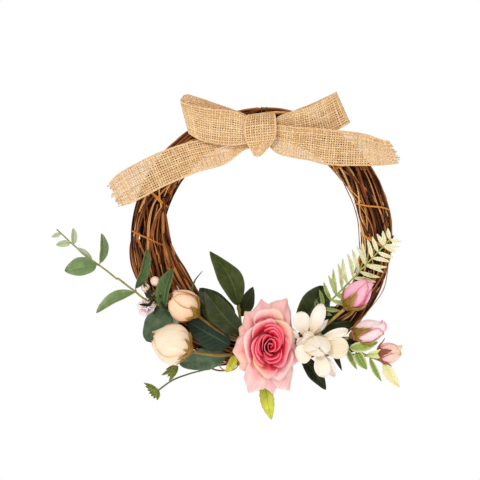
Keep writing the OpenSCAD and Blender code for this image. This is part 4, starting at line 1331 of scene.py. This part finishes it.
for a, (degrees, reach) in enumerate([(194, 11), (208, 16.5), (224, 13), (239, 15.5)]):
    spread = math.radians(degrees)
    way = Vector((math.cos(spread), -0.15, math.sin(spread)))
    leaf_blade(blades, (tuft + Vector((0, -0.25 * a * mm, 0)), tuft + way * reach * mm, 5.0 * mm,
                        Vector((0, -1, 0))), fold=0.35, blunt=0.2, teeth=5, tint=0.42, seed=a + 97, thick=0.4)
blades.piece("trailing_fringed_leaves", trailing_cloth, "silver_leaf", "trailing_leaf")


# ---------- Berries and small blossom ----------
# Cream berries of glossy plastic on short olive stalks, with a small white cloth blossom below
# them. They are wired to the foot of the eucalyptus sprig.

berry_skin = Finish("berry_skin", 0.32)
speckle = berry_skin.noise((420, 420, 420), 4.0)
berry_skin.paint(berry_skin.colours(berry_skin.total(speckle, berry_skin.marks[0], -0.5), (
    (0.0, (140, 92, 60)), (0.25, (212, 166, 136)), (0.5, (238, 210, 188)), (1.0, (252, 236, 220)))))
berry_skin.set(Subsurface_Weight=0.15, Subsurface_Scale=2 * mm)
berry_forms, berry_stalks = Rods(), Rods()
twig_foot = max(route(islands("eucalyptus_stem")[0], 26).tolist(), key=lambda p: p[0])
twig_foot = Vector(twig_foot) + Vector((-4, 0, 3)) * mm
for i, solid in enumerate(islands("berries")):
    ball = Vector((solid.min(0) + solid.max(0)) / 2)
    way = (ball - twig_foot).normalized()
    r = (solid[:, 0].max() - solid[:, 0].min()) / 2 * (1.12, 1.0, 1.2, 0.9)[i % 4]
    t = np.linspace(0, math.pi, 22)
    line = [ball - way * r * 1.02 * math.cos(a) for a in t]
    berry_forms.add(line, np.maximum(r * np.sin(t) * (1 + 0.03 * np.cos(2 * t)), 0.25 * mm),
                    0.45 + 0.08 * (i % 3), 22)
    berry_forms.add([ball + way * r * 0.96, ball + way * r * 1.12], [0.55 * mm, 0.3 * mm], 0.0, 10)
    bend = ball.lerp(twig_foot, 0.5) + Vector((0, 1, -2 + i)) * mm
    berry_stalks.add(smooth_through([ball - way * r * 0.9, bend, twig_foot], 1.5 * mm), 0.6 * mm, 0.3, 8)
for i in range(5):
    foot = twig_foot + Vector((-2.5 * i, -1, 2.5 * i)) * mm
    knot_of_leaf = foot + Vector((3 - 2 * i, -3, 6)) * mm * 0.8
    berry_stalks.add([foot, knot_of_leaf], [0.7 * mm, 0.5 * mm], 0.25, 8)
    berry_stalks.add([knot_of_leaf + Vector((0.3 * i - 0.6, -0.5, 1)) * mm * k
                      for k in (0, 1, 2.2, 3.6, 4.6)], np.array([0.6, 1.4, 1.7, 1.1, 0.3]) * mm,
                     0.2 + 0.1 * i, 9)
bits = Sheets()
berry_middle = (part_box("berries")[0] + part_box("berries")[1]) / 2
for i in range(16):
    foot = berry_middle + Vector((-5 + 2.8 * (i % 7), -2 - 0.6 * (i % 3), -15 + 3.1 * (i % 5))) * mm
    spread = math.radians(40 + 57 * i)
    way = Vector((math.cos(spread), -0.35, math.sin(spread)))
    leaf_blade(bits, (foot, foot + way * (6 + 1.5 * (i % 4)) * mm, 2.8 * mm, Vector((0, -1, 0))), fold=0.4,
               blunt=0.3, tint=0.25 + 0.06 * (i % 5), seed=i + 120, thick=0.4)
bits.piece("berry_sprig_leaflets", dark_leaf_cloth, "dark_leaf")
berry_forms.piece("berry_skins", berry_skin.material, "berry", "berries")
berry_stalks.piece("berry_stalks", golden_stem_skin, "stem", "berry_stems")

low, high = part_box("small_blossom")
centre = (low + high) / 2
blades = Sheets()
for i in range(5):
    # The negative last value only makes these petals a paler pink tone, the blossom's own colour.
    blossom_petal(blades, centre, 20 + 72 * i, 6.5 * mm, 8 * mm, 1.5 * mm, 0.3, i + 3, 0.0, -0.15)
blades.piece("small_blossom_petals", blush_cloth, "ivory_petal", "small_blossom")
eye = Rods()
for i in range(7):
    a = i * 2.4
    foot = centre + Vector((math.cos(a) * 0.35 * i, 0, math.sin(a) * 0.35 * i)) * mm
    eye.add([foot, foot + Vector((0, -2.6, 0)) * mm], [0.5 * mm, 0.35 * mm], 0.1, 8)
eye.piece("small_blossom_eye", brown_calyx_plastic, "calyx")


# ---------- Glue ----------
# Cloudy hot-melt glue that was squeezed in between the twigs and the flowers. It set in rounded
# lumps that swell over the twigs, with a few thin strings.

glue = Finish("hot_melt_glue", 0.25)
milk = glue.noise((180, 180, 180), 3.0)
glue.paint(glue.colours(milk, ((0.3, (214, 202, 176)), (0.7, (244, 238, 224)))))
glue.bump(milk, 0.3, 1 * mm)
glue.set(Subsurface_Weight=0.3, Subsurface_Scale=3 * mm)
lumps = Rods()
for i, pad in enumerate(islands("glue_pads")):
    low, high = Vector(pad.min(0)), Vector(pad.max(0))
    middle = (low + high) / 2
    half = (high.x - low.x) / 2
    for k in range(6):
        a = k * 2.4 + i
        heart_point = middle + Vector((math.cos(a) * half * 0.5 * (k > 0), 0.4 * mm * (k % 2),
                                       math.sin(a) * half * 0.5 * (k > 0)))
        depth = (high.y - low.y) * (0.65 - 0.05 * k)
        t = np.linspace(0, math.pi, 14)
        line = [heart_point + Vector((0, depth * math.cos(b), 0)) for b in t]
        lumps.add(line, np.maximum(half * (0.62 - 0.04 * k) * np.sin(t) ** 0.8, 0.2 * mm), 0.5, 18)
    string = smooth_through([middle, middle + Vector((6, 2.5, 9)) * mm,
                             middle + Vector((4 + 3 * i, 3.5, 16)) * mm], 1.5 * mm)
    lumps.add(string, 0.16 * mm, 0.5, 5)
lumps.piece("glue_lumps", glue.material, "glue", "glue_pads")
